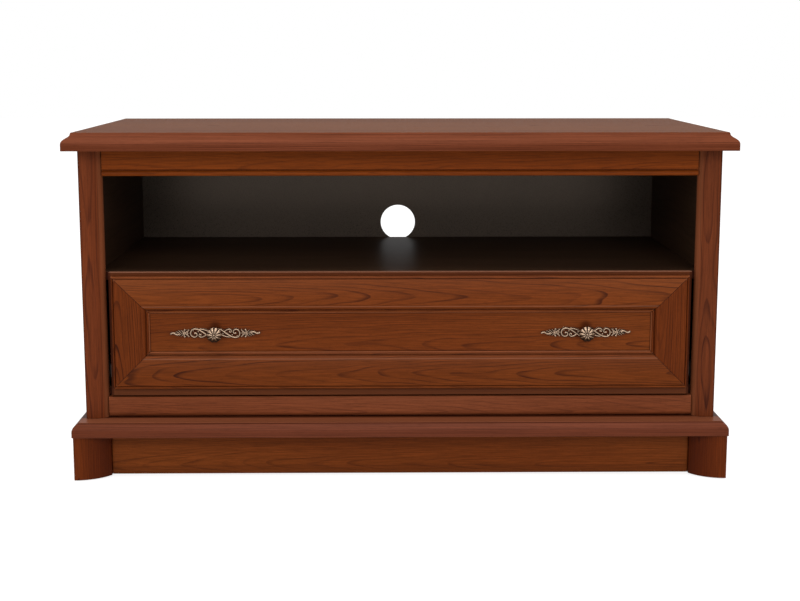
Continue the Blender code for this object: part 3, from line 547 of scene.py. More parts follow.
def laminate(node, grain):
    """Dark laminate printed with quiet grain."""
    material, tree, shader = principled("laminate_" + node)
    place = board_place(tree, grain, centre_of(node), (LEAF_STEP * next_leaf(node), 0.1, 0.0))
    figure = add_node(tree, "ShaderNodeGroup", {"node_tree": figured_wood},
                      {"Place": place, **laminate_values}).outputs
    rough = reckon(tree, "MULTIPLY_ADD", figure["Roughness"], 0.5, 0.20)
    feed(tree, shader, {"Base Color": figure["Colour"], "Roughness": rough,
                        "Specular IOR Level": LAMINATE_GLOSS, "Specular Tint": LAMINATE_TINT})
    bumped(tree, shader, figure["Height"], distance=0.00004, strength=0.15)
    return material


def front_edge(face):
    """Faces at the front take the veneer band."""
    return 1 if face.normal.y < -0.9 else 0


def outer_face(face):
    """A side's front edge takes the band, and its outer face the cherry veneer."""
    outward = face.normal.x * face.center.x
    return 2 if outward > 0.5 * abs(face.center.x) else front_edge(face)


for board in ("bottom_panel", "shelf_panel"):
    faces = [laminate(board, FLAT), cherry(board, LEVEL, label="_band", tone=SHADED_BAND_TONE)]
    finished(board, faces, choose=front_edge)
for board in ("left_side_panel", "right_side_panel"):
    faces = [
        laminate(board, SIDE_LEVEL),
        cherry(board, UPRIGHT, label="_band", tone=SHADED_BAND_TONE),
        cherry(board, SIDE_UPRIGHT, 0.03, "_outside", heart_depth=0.06, ring_spacing=0.006),
    ]
    finished(board, faces, choose=outer_face)

# Back panel: thin dark fibreboard nailed to the sides, the shelf and the bottom, with a cable hole.
# The nails are small steel pins with low round heads, about a hand's width apart.
FIBRE_DARK = (62, 53, 46)
FIBRE_PALE = (68, 58, 50)
FIBRE_GLOSS = 0.48
FIBRE_TINT = (1.0, 0.80, 0.64, 1.0)
FIBRE_CLOUDS = 14.0
FIBRE_FLECKS = 700.0


def clad(node, material):
    """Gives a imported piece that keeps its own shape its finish."""
    nodes[node].data.materials.clear()
    nodes[node].data.materials.append(material)


def make_fibreboard():
    """Pressed fibres with a dark sealed face."""
    material, tree, shader = principled("dark_fibreboard")
    spot = own_place(tree)
    cloud = even_noise(tree, spot, FIBRE_CLOUDS, 5.0)
    fleck = even_noise(tree, spot, FIBRE_FLECKS, 2.0)
    shade = blended(tree, spread(tree, cloud, 0.25, 0.75), paint(*FIBRE_DARK), paint(*FIBRE_PALE))
    shade = reckon_all(tree, "SCALE", {0: shade, "Scale": spread(tree, fleck, 0.3, 0.7, 0.88, 1.12)})
    rough = spread(tree, fleck, 0.3, 0.7, 0.26, 0.36)
    feed(tree, shader, {"Base Color": shade, "Roughness": rough,
                        "Specular IOR Level": FIBRE_GLOSS, "Specular Tint": FIBRE_TINT})
    bumped(tree, shader, fleck, distance=0.00006, strength=0.25)
    return material


clad("back_panel", make_fibreboard())

ZINC_BRIGHT = (196, 199, 202)
ZINC_DULL = (158, 161, 165)
ZINC_SPANGLES = 160.0
ZINC_DRAWING = (900.0, 12.0, 900.0)
NAIL_HEAD_RADIUS = 0.0026
NAIL_HEAD_RISE = 0.0007
NAIL_HEAD_SIDES = 10
NAIL_SPACING = 0.085
NAIL_EDGE = 0.008
NAIL_END = 0.02
NAIL_PROFILE = (
    (0, -0.0004), (0.0022, -0.0004), (NAIL_HEAD_RADIUS, 0.0001),
    (0.0020, NAIL_HEAD_RISE * 0.8), (0, NAIL_HEAD_RISE),
)
FACE_BACK = Matrix.Rotation(math.radians(-90), 4, "X")


def make_zinc_steel():
    """Zinc plated steel: a cool grey with cloudy spangles and fine drawing marks."""
    material, tree, shader = principled("zinc_plated_steel")
    spot = own_place(tree)
    cells = add_node(tree, "ShaderNodeTexVoronoi", {"feature": "F1"},
                     {"Vector": spot, "Scale": ZINC_SPANGLES})
    spangle = add_node(tree, "ShaderNodeRGBToBW", {}, {0: cells.outputs[1]}).outputs[0]
    marks = stretched_noise(tree, spot, ZINC_DRAWING, 2.0)[0]
    shade = blended(tree, spangle, paint(*ZINC_DULL), paint(*ZINC_BRIGHT))
    rough = spread(tree, marks, 0.3, 0.7, 0.27, 0.41)
    feed(tree, shader, {"Base Color": shade, "Roughness": rough, "Metallic": 1.0})
    bumped(tree, shader, marks, distance=0.00002, strength=0.25)
    return material


def repeating_tree(name, inputs):
    """An empty tree for what repeats: the tree, its inputs, and the identifier of each."""
    tree = bpy.data.node_groups.new(name, "GeometryNodeTree")
    sockets = {}
    for label, kind in inputs:
        sockets[label] = tree.interface.new_socket(label, in_out="INPUT", socket_type=kind).identifier
    tree.interface.new_socket("Pieces", in_out="OUTPUT", socket_type="NodeSocketGeometry")
    return tree, tree.nodes.new("NodeGroupInput").outputs, sockets


def end_tree(tree, copies, finish):
    """Ends a tree for what repeats: the copies become real faces with one finish."""
    solid = add_node(tree, "GeometryNodeRealizeInstances", {}, {0: copies.outputs[0]})
    coated = add_node(tree, "GeometryNodeSetMaterial", {}, {0: solid.outputs[0], "Material": finish})
    tree.links.new(coated.outputs[0], tree.nodes.new("NodeGroupOutput").inputs[0])


def make_fastener_rows():
    """Sets one fastener after another along drawn lines, a fixed distance apart."""
    tree, given, sockets = repeating_tree("fastener_rows", (
        ("Lines", "NodeSocketGeometry"), ("Spacing", "NodeSocketFloat"),
        ("Fastener", "NodeSocketObject"), ("Finish", "NodeSocketMaterial"),
    ))
    line = add_node(tree, "GeometryNodeMeshToCurve", {}, {0: given["Lines"]})
    places = add_node(tree, "GeometryNodeResampleCurve", {"mode": "LENGTH"},
                      {"Curve": line.outputs[0], "Length": given["Spacing"]})
    shape = add_node(tree, "GeometryNodeObjectInfo", {}, {"Object": given["Fastener"]})
    rows = add_node(tree, "GeometryNodeInstanceOnPoints", {},
                    {"Points": places.outputs[0], "Instance": shape.outputs["Geometry"]})
    end_tree(tree, rows, given["Finish"])
    return tree, sockets


zinc_steel = make_zinc_steel()
fastener_rows, fastener_sockets = make_fastener_rows()


def settled(made, name):
    """The object's shape with its modifiers worked in, as a plain mesh; the object itself goes."""
    bpy.context.view_layer.update()
    mesh = bpy.data.meshes.new_from_object(made.evaluated_get(bpy.context.evaluated_depsgraph_get()))
    mesh.name = name
    bpy.data.objects.remove(made)
    return mesh


def meshed(shell, name):
    """The shell as a plain mesh; the shell itself goes."""
    mesh = bpy.data.meshes.new(name)
    shell.to_mesh(mesh)
    shell.free()
    return mesh


def bridge(shell, rings):
    """Faces from each ring of points to the next. A ring of one point is a pole."""
    sides = max(len(ring) for ring in rings)
    for low, high in zip(rings, rings[1:]):
        for step in range(sides):
            after = (step + 1) % sides
            corners = [low[step % len(low)], low[after % len(low)],
                       high[after % len(high)], high[step % len(high)]]
            shell.faces.new(list(dict.fromkeys(corners)))


def turned_mesh(name, profile, sides, turn=None):
    """A turned shape: profile points of radius and height, from the pole at one end to the other."""
    shell = bmesh.new()
    angles = [2 * math.pi * step / sides for step in range(sides)]
    rings = []
    for radius, height in profile:
        around = [(radius * math.cos(angle), radius * math.sin(angle), height) for angle in angles]
        rings.append([shell.verts.new(point) for point in (around if radius else [(0, 0, height)])])
    bridge(shell, rings)
    bmesh.ops.recalc_face_normals(shell, faces=shell.faces)
    if turn:
        shell.transform(turn)
    mesh = meshed(shell, name)
    mesh.shade_smooth()
    return mesh


def fastened(name, body, lines, spacing, head, finish):
    """Rows of one fastener on a body, along straight lines between pairs of points."""
    points = [point for line in lines for point in line]
    mesh = bpy.data.meshes.new(name + "_lines")
    mesh.from_pydata(points, [(2 * index, 2 * index + 1) for index in range(len(lines))], [])
    row = loose_object(name + "_lines", mesh)
    pattern = loose_object(name + "_head", head)
    rows = modified(row, "rows", "NODES", node_group=fastener_rows)
    for label, value in (("Spacing", spacing), ("Fastener", pattern), ("Finish", finish)):
        rows[fastener_sockets[label]] = value
    piece = loose_object(name, settled(row, name))
    bpy.data.objects.remove(pattern)
    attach(piece, body)
    return piece


def back_nails():
    """Nail heads down both sides and along the shelf and the bottom."""
    low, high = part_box("back_panel")
    left, right, back = low.x + NAIL_EDGE, high.x - NAIL_EDGE, high.y
    lines = [((x, back, low.z + NAIL_END), (x, back, high.z - NAIL_END)) for x in (left, right)]
    for board in ("shelf_panel", "bottom_panel"):
        height = centre_of(board).z
        lines.append(((left + NAIL_SPACING, back, height), (right - NAIL_SPACING, back, height)))
    head = turned_mesh("nail_head", NAIL_PROFILE, NAIL_HEAD_SIDES, FACE_BACK)
    fastened("back_panel_nails", "carcass", lines, NAIL_SPACING, head, zinc_steel)


back_nails()

# Face frame: two upright posts with rounded inner sides, a frieze rail with its bead, and a bottom rail.
# All are cherry veneer on shaped board, glued and dowelled to the carcass front.
# The blue-heavy tones of the posts and the bottom rail stand partly for a painted sheen.
LEFT_POST_TONE = (0.92, 0.90, 1.28)
RIGHT_POST_TONE = (0.86, 0.85, 1.24)
FRIEZE_TONE = (1.03, 0.98, 0.66)
BOTTOM_RAIL_TONE = (1.06, 1.16, 2.0)
post_low, post_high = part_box("right_post")
# A painted highlight on each post's inner rounding, and painted shade along its outer arris.
on_rounding = band("X", post_low.x + 0.010, post_low.x + 0.003, 0.17)
on_outer_arris = band("X", post_high.x - 0.005, post_high.x - 0.001, 0.40)
for post, tone in (("left_post", LEFT_POST_TONE), ("right_post", RIGHT_POST_TONE)):
    leaf = cherry(post, UPRIGHT, 0.006, tone=tone, slope=0.022, ring_spacing=0.0056, wander=0.05)
    stained(leaf, PAINTED_HIGHLIGHT_WOOD, on_rounding)
    finished(post, [stained(leaf, SHADE_AND_GLAZE, on_outer_arris)])
for rail, off_heart, tone, lines in (("top_rail", 0.012, FRIEZE_TONE, 0.5),
                                     ("bottom_rail", 0.016, BOTTOM_RAIL_TONE, 0.45)):
    leaf = cherry(rail, LEVEL, off_heart, tone=tone, line_weight=lines)
    finished(rail, [leaf])

# Top: a thick veneered board with an ogee moulding on its front and ends, mitred at the corners.
# It is screwed down on the carcass from inside, and its satin lacquer catches the light from above.
TOP_FACE_TONE = (0.88, 0.97, 1.0)
# The moulding's blue-heavy tone stands partly for a painted sheen on its upward curve.
TOP_EDGE_TONE = (0.97, 1.08, 2.10)
TOP_GLOSS = 0.006
# Painted shade on the ogee's lower face.
shade_under_ogee = shaded_lower_face("top_panel", start=0.015, full=0.024, most=0.36)
moulded_board("top_panel", TOP_FACE_TONE, TOP_EDGE_TONE, TOP_GLOSS,
              lambda leaf: stained(leaf, UNDERSIDE_SHADE, shade_under_ogee))

# Runners: folded steel with a brown epoxy coat, channels on softwood battens, angles on the drawer sides.
# Each pair shares two nylon rollers on riveted studs, and pan-head screws hold the steel to the wood.
BATTEN_PALE = (206, 168, 116)
BATTEN_WARM = (190, 148, 96)
BATTEN_LINE = (150, 104, 60)
BATTEN_PAINTED_SHADE = (16, 8, 5)
BATTEN_GLOSS = 0.05
ROLLER_WHITE = (226, 222, 212)
ROLLER_EASE = 0.0003
RUNNER_BROWN = (30, 19, 13)
RUNNER_SHEET = 0.0012
RUNNER_EASE = 0.0002
RUNNER_GAP = 0.0003
pine_values = {
    "Ring Spacing": 0.006, "Heart Depth": 0.03, "Wander": 0.02, "Line Weight": 0.7,
    "Pale": paint(*BATTEN_PALE), "Warm": paint(*BATTEN_WARM),
    "Line": paint(*BATTEN_LINE), "Pore": paint(*BATTEN_LINE),
}
nylon = moulded_plastic("white_nylon", ROLLER_WHITE, roughness=0.42, stipple=1500.0)
runner_coat = moulded_plastic("brown_epoxy_coat", RUNNER_BROWN, roughness=0.46, stipple=900.0)


def batten_wood(node, shift):
    """Softwood with its grain along a batten, painted dark at the front end as shade in the gap beside the
    drawer.
    """
    centre = centre_of(node)
    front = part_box(node)[0].y
    pine = wood("pine_" + node, lambda tree: board_place(tree, SIDE_LEVEL, centre, shift), pine_values,
                BATTEN_GLOSS, painted_highlight=0.0)
    return stained(pine, BATTEN_PAINTED_SHADE, band("Y", front + 0.060, front + 0.050))


for number, side in enumerate(("left", "right")):
    batten = side + "_runner_batten"
    finished(batten, [batten_wood(batten, (0.7 + 1.1 * number, 0.01, 0.0))])
    for fitting, slot, finish, ease in (("runner", "brown_coated_steel", runner_coat, RUNNER_EASE),
                                        ("roller", "white_nylon", nylon, ROLLER_EASE)):
        for holder in ("cabinet", "drawer"):
            finished(f"{side}_{holder}_{fitting}", [finish], ease)

SCREW_RADIUS = 0.0036
SCREW_CROWN = 0.0027
SCREW_RISE = 0.0008
SCREW_SUNK = 0.0003
RECESS_ARM = 0.0019
RECESS_HALF = 0.0006
RECESS_DEPTH = 0.0006
SCREW_SPACING = 0.12
SCREW_ROW = (-0.17, 0.19)


def cross_head(turn):
    """A pan-head screw's head with a cross recess, turned to face out of its runner."""
    corners = ((RECESS_ARM, -RECESS_HALF), (RECESS_ARM, RECESS_HALF), (RECESS_HALF, RECESS_HALF))
    quarters = [Matrix.Rotation(quarter * math.pi / 2, 2) for quarter in range(4)]
    cross = [quarter @ Vector(corner) for quarter in quarters for corner in corners]
    rounds = [point.normalized() for point in cross]
    crown = [SCREW_CROWN * point for point in rounds]
    rim = [SCREW_RADIUS * point for point in rounds]
    levels = ((cross, SCREW_RISE - RECESS_DEPTH), (cross, SCREW_RISE), (crown, SCREW_RISE * 0.95),
              (rim, SCREW_RISE * 0.35), (rim, -SCREW_SUNK))
    shell = bmesh.new()
    rings = [[shell.verts.new((*point, height)) for point in points] for points, height in levels]
    bridge(shell, rings)
    shell.faces.new(rings[0])
    shell.faces.new(rings[-1])
    bmesh.ops.recalc_face_normals(shell, faces=shell.faces)
    shell.transform(turn)
    return meshed(shell, "screw_head")


def runner_screws(name, body, sheet_face, height, towards):
    """A row of screws along one runner's web. Towards is 1 where the heads face right, -1 where left."""
    row = [(sheet_face, y, height) for y in SCREW_ROW]
    head = cross_head(Matrix.Rotation(towards * math.pi / 2, 4, "Y"))
    fastened(name, body, [row], SCREW_SPACING, head, zinc_steel)


for side, towards in (("left", 1), ("right", -1)):
    runner, angle = side + "_cabinet_runner", side + "_drawer_runner"
    low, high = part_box(runner)
    web = (low.x if towards > 0 else high.x) + towards * RUNNER_SHEET
    runner_screws(runner + "_screws", "carcass", web, centre_of(runner).z, towards)
    low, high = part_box(side + "_drawer_side")
    web = (low.x if towards > 0 else high.x) - towards * (RUNNER_SHEET + RUNNER_GAP)
    runner_screws(angle + "_screws", "drawer", web, centre_of(angle).z, -towards)

# Drawer box: two sides and a back in dark laminated board, a thin grooved-in bottom and its stiffener.
# The back is dowelled between the sides, and the bottom is pinned up into the back's lower edge.
PIN_END = 0.03
for board, grain in (
    ("left_drawer_side", SIDE_LEVEL), ("right_drawer_side", SIDE_LEVEL), ("drawer_back", LEVEL),
    ("drawer_bottom", FLAT), ("drawer_bottom_stiffener", CROSSWISE),
):
    clad(board, laminate(board, grain))


def bottom_pins():
    """Pin heads in a row under the drawer bottom, below the middle of the back."""
    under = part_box("drawer_bottom")[0]
    line = centre_of("drawer_back").y
    row = [(end, line, under.z) for end in (under.x + PIN_END, -under.x - PIN_END)]
    head = turned_mesh("pin_head", NAIL_PROFILE, NAIL_HEAD_SIDES, Matrix.Rotation(math.pi, 4, "X"))
    fastened("drawer_bottom_pins", "drawer", [row], NAIL_SPACING, head, zinc_steel)


bottom_pins()

# Drawer front: a veneered board that carries a frame of four moulded lengths, mitred at the corners.
# The grain runs along each length, and the board inside the frame shows wide arched figure.
# Outside the frame a narrow margin of the board is painted dark as shade, and its edges get painted
# highlights.
# Painted shade lies round each handle plate, and a painted dark reflection of each knob above it.
FRONT_TONE = (0.94, 0.93, 0.90)
# The bar tones stand partly for painted light: the top bar paler and bluer, the stiles darker and redder.
TOP_BAR_TONE = (0.96, 0.96, 1.02)
LOW_BAR_TONE = (0.90, 0.88, 0.82)
LEFT_BAR_TONE = (0.83, 0.75, 0.60)
RIGHT_BAR_TONE = (0.84, 0.76, 0.62)
FRONT_PAINTED_SHADE = (44, 13, 3)
PAINTED_HIGHLIGHT_EDGE = (196, 140, 112)
INNER_MOULDING = 0.0125
MITRE_HALF = 0.0005
frame_low = Vector((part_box("drawer_frame_left")[0].x, 0.0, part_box("drawer_frame_bottom")[0].z))
frame_high = Vector((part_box("drawer_frame_right")[1].x, 0.0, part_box("drawer_frame_top")[1].z))
panel_low = Vector((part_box("drawer_frame_left")[1].x, 0.0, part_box("drawer_frame_bottom")[1].z))
panel_high = Vector((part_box("drawer_frame_right")[0].x, 0.0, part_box("drawer_frame_top")[0].z))
front_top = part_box("drawer_front_board")[1].z


def either(first, second):
    """The larger of two shares."""
    return lambda tree, spot: reckon(tree, "MAXIMUM", first(tree, spot), second(tree, spot))


def inside_panel(tree, spot):
    """How far a point of the drawer front lies inside the frame's opening."""
    right = reckon(tree, "SUBTRACT", panel_high.x, reckon(tree, "ABSOLUTE", spot["X"]))
    above = reckon(tree, "SUBTRACT", spot["Z"], panel_low.z)
    below = reckon(tree, "SUBTRACT", panel_high.z, spot["Z"])
    return reckon(tree, "MINIMUM", right, reckon(tree, "MINIMUM", above, below))


def inner_line(tree, spot):
    """Painted shade: a dark line on the board along the inside of the frame."""
    return spread(tree, inside_panel(tree, spot), 0.0022, 0.0010, 0.0, 0.60)


def painted_dark_oval(node, lift, reach, edge, most):
    """A painted dark oval round a fitting: painted shade round a plate, a painted reflection above a knob.
    Reach and edge are shares of its half width and half height."""
    low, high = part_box(node)
    middle, half = (low + high) / 2, (high - low) / 2

    def share(tree, spot):
        right = reckon(tree, "SUBTRACT", reckon(tree, "ABSOLUTE", spot["X"]), middle.x)
        right = reckon(tree, "DIVIDE", right, half.x)
        up = reckon(tree, "DIVIDE", reckon(tree, "SUBTRACT", spot["Z"], middle.z + lift), half.z)
        return spread(tree, straight_line(tree, right, up), reach, edge, 0.0, most)

    return share


def inner_arris(tree, spot):
    """The arris between a bar's flat and its inner moulding."""
    outward = reckon(tree, "MULTIPLY", inside_panel(tree, spot), -1.0)
    off_line = reckon(tree, "ABSOLUTE", reckon(tree, "SUBTRACT", outward, INNER_MOULDING))
    return spread(tree, off_line, 0.0014, 0.0006, 0.0, 0.12)


def mitre_share(tree, spot):
    """The thin dark line where glaze has run into a mitre."""
    inward = reckon(tree, "SUBTRACT", frame_high.x, reckon(tree, "ABSOLUTE", spot["X"]))
    nearest = reckon(tree, "MINIMUM", reckon(tree, "SUBTRACT", frame_high.z, spot["Z"]),
                     reckon(tree, "SUBTRACT", spot["Z"], frame_low.z))
    away = reckon(tree, "ABSOLUTE", reckon(tree, "SUBTRACT", inward, nearest))
    return spread(tree, away, 2.2 * MITRE_HALF, 1.2 * MITRE_HALF, 0.0, 0.8)


# Painted highlights over and under the frame and on the upper edge; painted shade beside the frame.
over_frame = band("Z", frame_high.z, frame_high.z + 0.0006, 0.09)
under_frame = band("Z", frame_low.z, frame_low.z - 0.0006, 0.21)
beside_frame = band("X", frame_high.x - 0.0004, frame_high.x + 0.0004, 0.85)
on_outer_bead = band("X", frame_high.x - 0.0030, frame_high.x - 0.0018, 0.6)
along_upper_edge = band("Z", front_top - 0.0012, front_top - 0.0004, 0.30)
knob_reflection = painted_dark_oval("right_knob", lift=0.010, reach=1.20, edge=0.30, most=0.70)
plate_shade = painted_dark_oval("right_handle_plate", lift=0.0, reach=1.15, edge=0.80, most=0.62)

front_leaf = cherry("drawer_front_board", LEVEL, 0.022, tone=FRONT_TONE, heart_depth=0.034, wander=0.016)
for stain, share in (
    (PAINTED_HIGHLIGHT_WOOD, either(over_frame, under_frame)), (FRONT_PAINTED_SHADE, either(beside_frame, inner_line)),
    (PAINTED_HIGHLIGHT_EDGE, along_upper_edge), (FRONT_PAINTED_SHADE, knob_reflection), (FRONT_PAINTED_SHADE, plate_shade),
):
    stained(front_leaf, stain, share)
finished("drawer_front_board", [front_leaf])
for side, tone, corner_shading, lines in (("top", TOP_BAR_TONE, 1.0, 0.95), ("bottom", LOW_BAR_TONE, 0.55, 1.0)):
    bar = "drawer_frame_" + side
    bar_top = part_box(bar)[1].z
    leaf = cherry(bar, LEVEL, 0.006, tone=tone, corner_shading=corner_shading, line_weight=lines)
    stained(leaf, SHADE_AND_GLAZE, mitre_share)
    # A painted highlight on the inner arris, and a painted sheen fading down from each bar's top.
    stained(leaf, PAINTED_HIGHLIGHT_EDGE, inner_arris)
    stained(leaf, PAINTED_HIGHLIGHT_EDGE, band("Z", bar_top - 0.05, bar_top, 0.028))
    finished(bar, [leaf])
for side, tone in (("left", LEFT_BAR_TONE), ("right", RIGHT_BAR_TONE)):
    bar = "drawer_frame_" + side
    leaf = cherry(bar, UPRIGHT, 0.026, tone=tone, line_weight=1.15, ring_spacing=0.0030)
    stained(leaf, SHADE_AND_GLAZE, mitre_share)
    # Painted shade on each stile's outer bead.
    stained(leaf, FRONT_PAINTED_SHADE, on_outer_bead)
    finished(bar, [leaf])

# Handles: a scrollwork plate and a flower knob each, cast in brass and left dark in the recesses.
# One half of the plate is the other half turned round: a stem that curls into a scroll, a collar, a knot
# and a leafy tip. A screw from inside the drawer draws the knob and the plate against the front.
BRASS_BRIGHT = (158, 134, 113)
BRASS_WARM = (80, 55, 36)
BRASS_PATINA = (36, 18, 8)
BRASS_CLOUDS = 420.0
BRASS_PITS = 2600.0
CAST_GRAIN = 0.00030
PLATE_RELIEF = 0.0030
EVEN_DEPTH = 0.42
MILLIMETRE = 0.001

# Paths on the right half of a plate, in millimetres right of and above its middle.
MAIN_SCROLL = ((3.0, 7.0), (10.5, 6.1), (20.0, -0.2), (29.4, -6.0), (36.4, -7.9), (42.4, -6.2),
               (44.9, -0.6), (43.0, 5.0), (37.8, 7.3), (33.4, 4.6), (33.6, 0.6), (37.0, -0.6))
SMALL_SCROLL = ((16.0, 2.4), (20.6, 5.8), (26.2, 7.4), (29.6, 5.0), (28.6, 1.8), (25.6, 2.6))
LOWER_STEM = ((6.0, 1.6), (13.0, -3.6), (21.0, -6.6), (29.0, -7.2))
COLLAR = ((47.6, 6.8), (50.2, 3.6), (51.0, 0.0), (50.2, -3.6), (47.6, -6.8))
KNOT_UP = ((51.6, -3.6), (54.6, 0.0), (57.0, 3.4), (55.8, 6.2))
KNOT_DOWN = ((51.6, 3.6), (54.6, 0.0), (57.0, -3.4), (55.8, -6.2))
MIDRIB = ((44.0, 0.0), (56.0, 0.0), (70.0, 0.4))
HOOKED_TIP = ((64.5, 0.6), (68.7, 2.9), (72.6, 1.6), (76.4, -0.3), (79.6, 0.2), (81.2, 1.1))
STALKS = (((12.6, -3.6), (13.6, -2.0), (14.0, -0.6)), ((29.6, -6.2), (31.2, -4.8), (31.0, -3.0)),
          ((42.2, -5.8), (41.0, -5.0), (40.2, -4.6)))

# Each rod's path, its radius at the start and at the end, its lift and how far its skirt spreads.
SKIRT = 0.8
OPEN_SKIRT = 1.35
RODS = (
    (MAIN_SCROLL, 1.45, 1.1, 1.5, OPEN_SKIRT), (SMALL_SCROLL, 1.15, 0.95, 1.35, OPEN_SKIRT),
    (LOWER_STEM, 1.15, 0.9, 1.15, OPEN_SKIRT), (COLLAR, 1.1, 1.1, 1.5, SKIRT),
    (KNOT_UP, 1.0, 1.0, 1.45, SKIRT), (KNOT_DOWN, 1.0, 1.0, 1.25, SKIRT),
    (HOOKED_TIP, 1.4, 1.65, 1.5, SKIRT),
)

# Beads have a place and a radius, leaves a root, a length and an angle, and ovals under them a half size.
BEADS = ((37.2, 0.2, 2.1), (26.2, 3.4, 1.6), (40.2, -4.6, 1.3), (55.6, 6.4, 1.9), (55.6, -6.4, 1.9),
         (58.4, 0.0, 1.8), (81.2, 1.1, 1.7), (14.0, -0.6, 1.5), (31.0, -3.0, 1.5))
LEAVES = ((56.4, 9.4, 46), (60.6, 9.2, 38), (64.8, 8.6, 28))
LEAF_STEPS = 6
LEAF_WIDTH = 1.1
LEAF_GROUND = ((54.0, 6.0, 7.2), (62.0, 8.0, 5.6), (68.0, 6.0, 4.2))
BOSS = ((0, -0.4), (8.8, -0.4), (9.0, 0.6), (8.4, 1.6), (7.4, 1.9), (6.4, 2.3), (0, 2.6))


def flowing(points, steps=5):
    """A smooth path through points, each given as millimetres to the right and up."""
    ends = [points[0], *points, points[-1]]
    path = []
    for four in zip(ends, ends[1:], ends[2:], ends[3:]):
        for step in range(steps):
            t = step / steps
            weights = ((-t + 2 * t * t - t ** 3) / 2, (2 - 5 * t * t + 3 * t ** 3) / 2,
                       (t + 4 * t * t - 3 * t ** 3) / 2, (t ** 3 - t * t) / 2)
            path.append(sum((w * Vector(point) for w, point in zip(weights, four)), Vector((0, 0))))
    return [*path, Vector(points[-1])]


def closed_tube(shell, rings):
    """Faces along rings of points and over both ends."""
    bridge(shell, rings)
    shell.faces.new(rings[0][::-1])
    shell.faces.new(rings[-1])


def add_rod(shell, points, start, end, lift, flat=0.85, sides=10):
    """A tapering half-round rod along a path, in millimetres."""
    path = flowing(points)
    rings = []
    for index, spot in enumerate(path):
        along = (path[min(index + 1, len(path) - 1)] - path[max(index - 1, 0)]).normalized()
        across = Vector((-along.y, along.x))
        share = index / (len(path) - 1)
        radius = start + (end - start) * share
        ring = []
        for step in range(sides):
            angle = 2 * math.pi * step / sides
            edge = spot + across * radius * math.cos(angle)
            ring.append(shell.verts.new((edge.x, edge.y, lift + radius * flat * math.sin(angle))))
        rings.append(ring)
    closed_tube(shell, rings)


def add_bead(shell, right, up, radius, lift=1.1, squash=(1.0, 1.0, 0.9)):
    """A small round bead, or a flat oval."""
    size = Matrix.Diagonal((*(radius * part for part in squash), 1.0))
    place = Matrix.Translation((right, up, lift)) @ size
    bmesh.ops.create_icosphere(shell, subdivisions=2, radius=1.0, matrix=place)


def add_leaf(shell, root, length, angle):
    """A full pointed leaf, from the midrib outwards."""
    turn = math.radians(angle)
    along = Vector((math.cos(turn), math.sin(turn)))
    across = Vector((-along.y, along.x))
    arch = [math.radians(degrees) for degrees in range(0, 181, 30)]
    rings = []
    for step in range(LEAF_STEPS + 1):
        share = step / LEAF_STEPS
        swell = math.sin(math.pi * (0.12 + 0.88 * share)) ** 0.8 if step < LEAF_STEPS else 0.08
        half = LEAF_WIDTH * swell
        spot = Vector((root, 0.0)) + along * length * share
        lift = 1.7 + 1.1 * math.sin(math.pi * (0.2 + 0.7 * share))
        edges = [(math.cos(bend), lift * math.sin(bend)) for bend in arch] + [(0.0, -0.4)]
        rings.append([shell.verts.new((*(spot + across * half * side), height)) for side, height in edges])
    closed_tube(shell, rings)


def plate_half(shell):
    """The ornament on the right of the knob."""
    for path, start, end, lift, skirt in RODS:
        add_rod(shell, path, start, end, lift)
        add_rod(shell, path, start + skirt, end + skirt, lift=0.2, flat=0.26)
    add_rod(shell, MIDRIB, start=1.1, end=0.9, lift=0.7)
    for stalk in STALKS:
        add_rod(shell, stalk, start=0.9, end=0.7, lift=0.8)
    for right, up, radius in BEADS:
        add_bead(shell, right, up, radius)
    for root, length, angle in LEAVES:
        add_leaf(shell, root, length, angle)
        add_leaf(shell, root, length, -angle)
    for right, wide, high in LEAF_GROUND:
        add_bead(shell, right, 0.0, radius=1.0, lift=0.1, squash=(wide, high, 0.55))


def cast(name, shell):
    """Pours overlapping shapes into one fine skin in metres, and fettles it lightly."""
    bmesh.ops.recalc_face_normals(shell, faces=shell.faces)
    shell.transform(Matrix.Scale(MILLIMETRE, 4))
    pattern = loose_object(name + "_pattern", meshed(shell, name + "_pattern"))
    modified(pattern, "poured", "REMESH", mode="VOXEL", voxel_size=CAST_GRAIN)
    modified(pattern, "fettled", "SMOOTH", factor=0.5, iterations=2)
    return settled(pattern, name)


def flat_back(mesh):
    """Saws off what lies behind the plate's seat and closes the cut, but not the scrollwork's openings."""
    shell = bmesh.new()
    shell.from_mesh(mesh)
    every = [*shell.verts, *shell.edges, *shell.faces]
    cut = bmesh.ops.bisect_plane(shell, geom=every, plane_co=(0, 0, 0), plane_no=(0, 0, -1),
                                 clear_outer=True)
    sawn = [item for item in cut["geom_cut"] if isinstance(item, bmesh.types.BMVert)]
    bmesh.ops.remove_doubles(shell, verts=sawn, dist=CAST_GRAIN / 12)
    rim = [edge for edge in shell.edges if edge.is_boundary]
    bmesh.ops.triangle_fill(shell, edges=rim, use_beauty=True)
    shell.to_mesh(mesh)
    shell.free()


def plate_mesh():
    """The cast plate: a round boss and two like halves, one turned half round."""
    shell = bmesh.new()
    plate_half(shell)
    whole = [*shell.verts, *shell.edges, *shell.faces]
    copied = bmesh.ops.duplicate(shell, geom=whole)["geom"]
    turned_round = [item for item in copied if isinstance(item, bmesh.types.BMVert)]
    bmesh.ops.rotate(shell, cent=(0, 0, 0), matrix=Matrix.Rotation(math.pi, 3, "Z"), verts=turned_round)
    shell.from_mesh(turned_mesh("boss", BOSS, sides=48))
    mesh = cast("handle_plate", shell)
    flat_back(mesh)
    return mesh


# The knob in millimetres from the drawer front: its petals and its neck, the neck's heights from the seat.
PETALS = 10
PETAL_ROOT = 2.2
PETAL_TIP = 14.3
KNOB_TOP = 24.7
KNOB_SEAT = 3.3
NECK = ((0, 0), (8.2, 0), (8.4, 0.8), (7.0, 1.8), (5.6, 3.6), (5.5, 7.6), (6.6, 9.2), (9.4, 11.0),
        (12.8, 12.8), (14.0, 13.6), (13.6, 14.4), (9.0, 16.0), (5.0, 17.6), (0, 18.4))


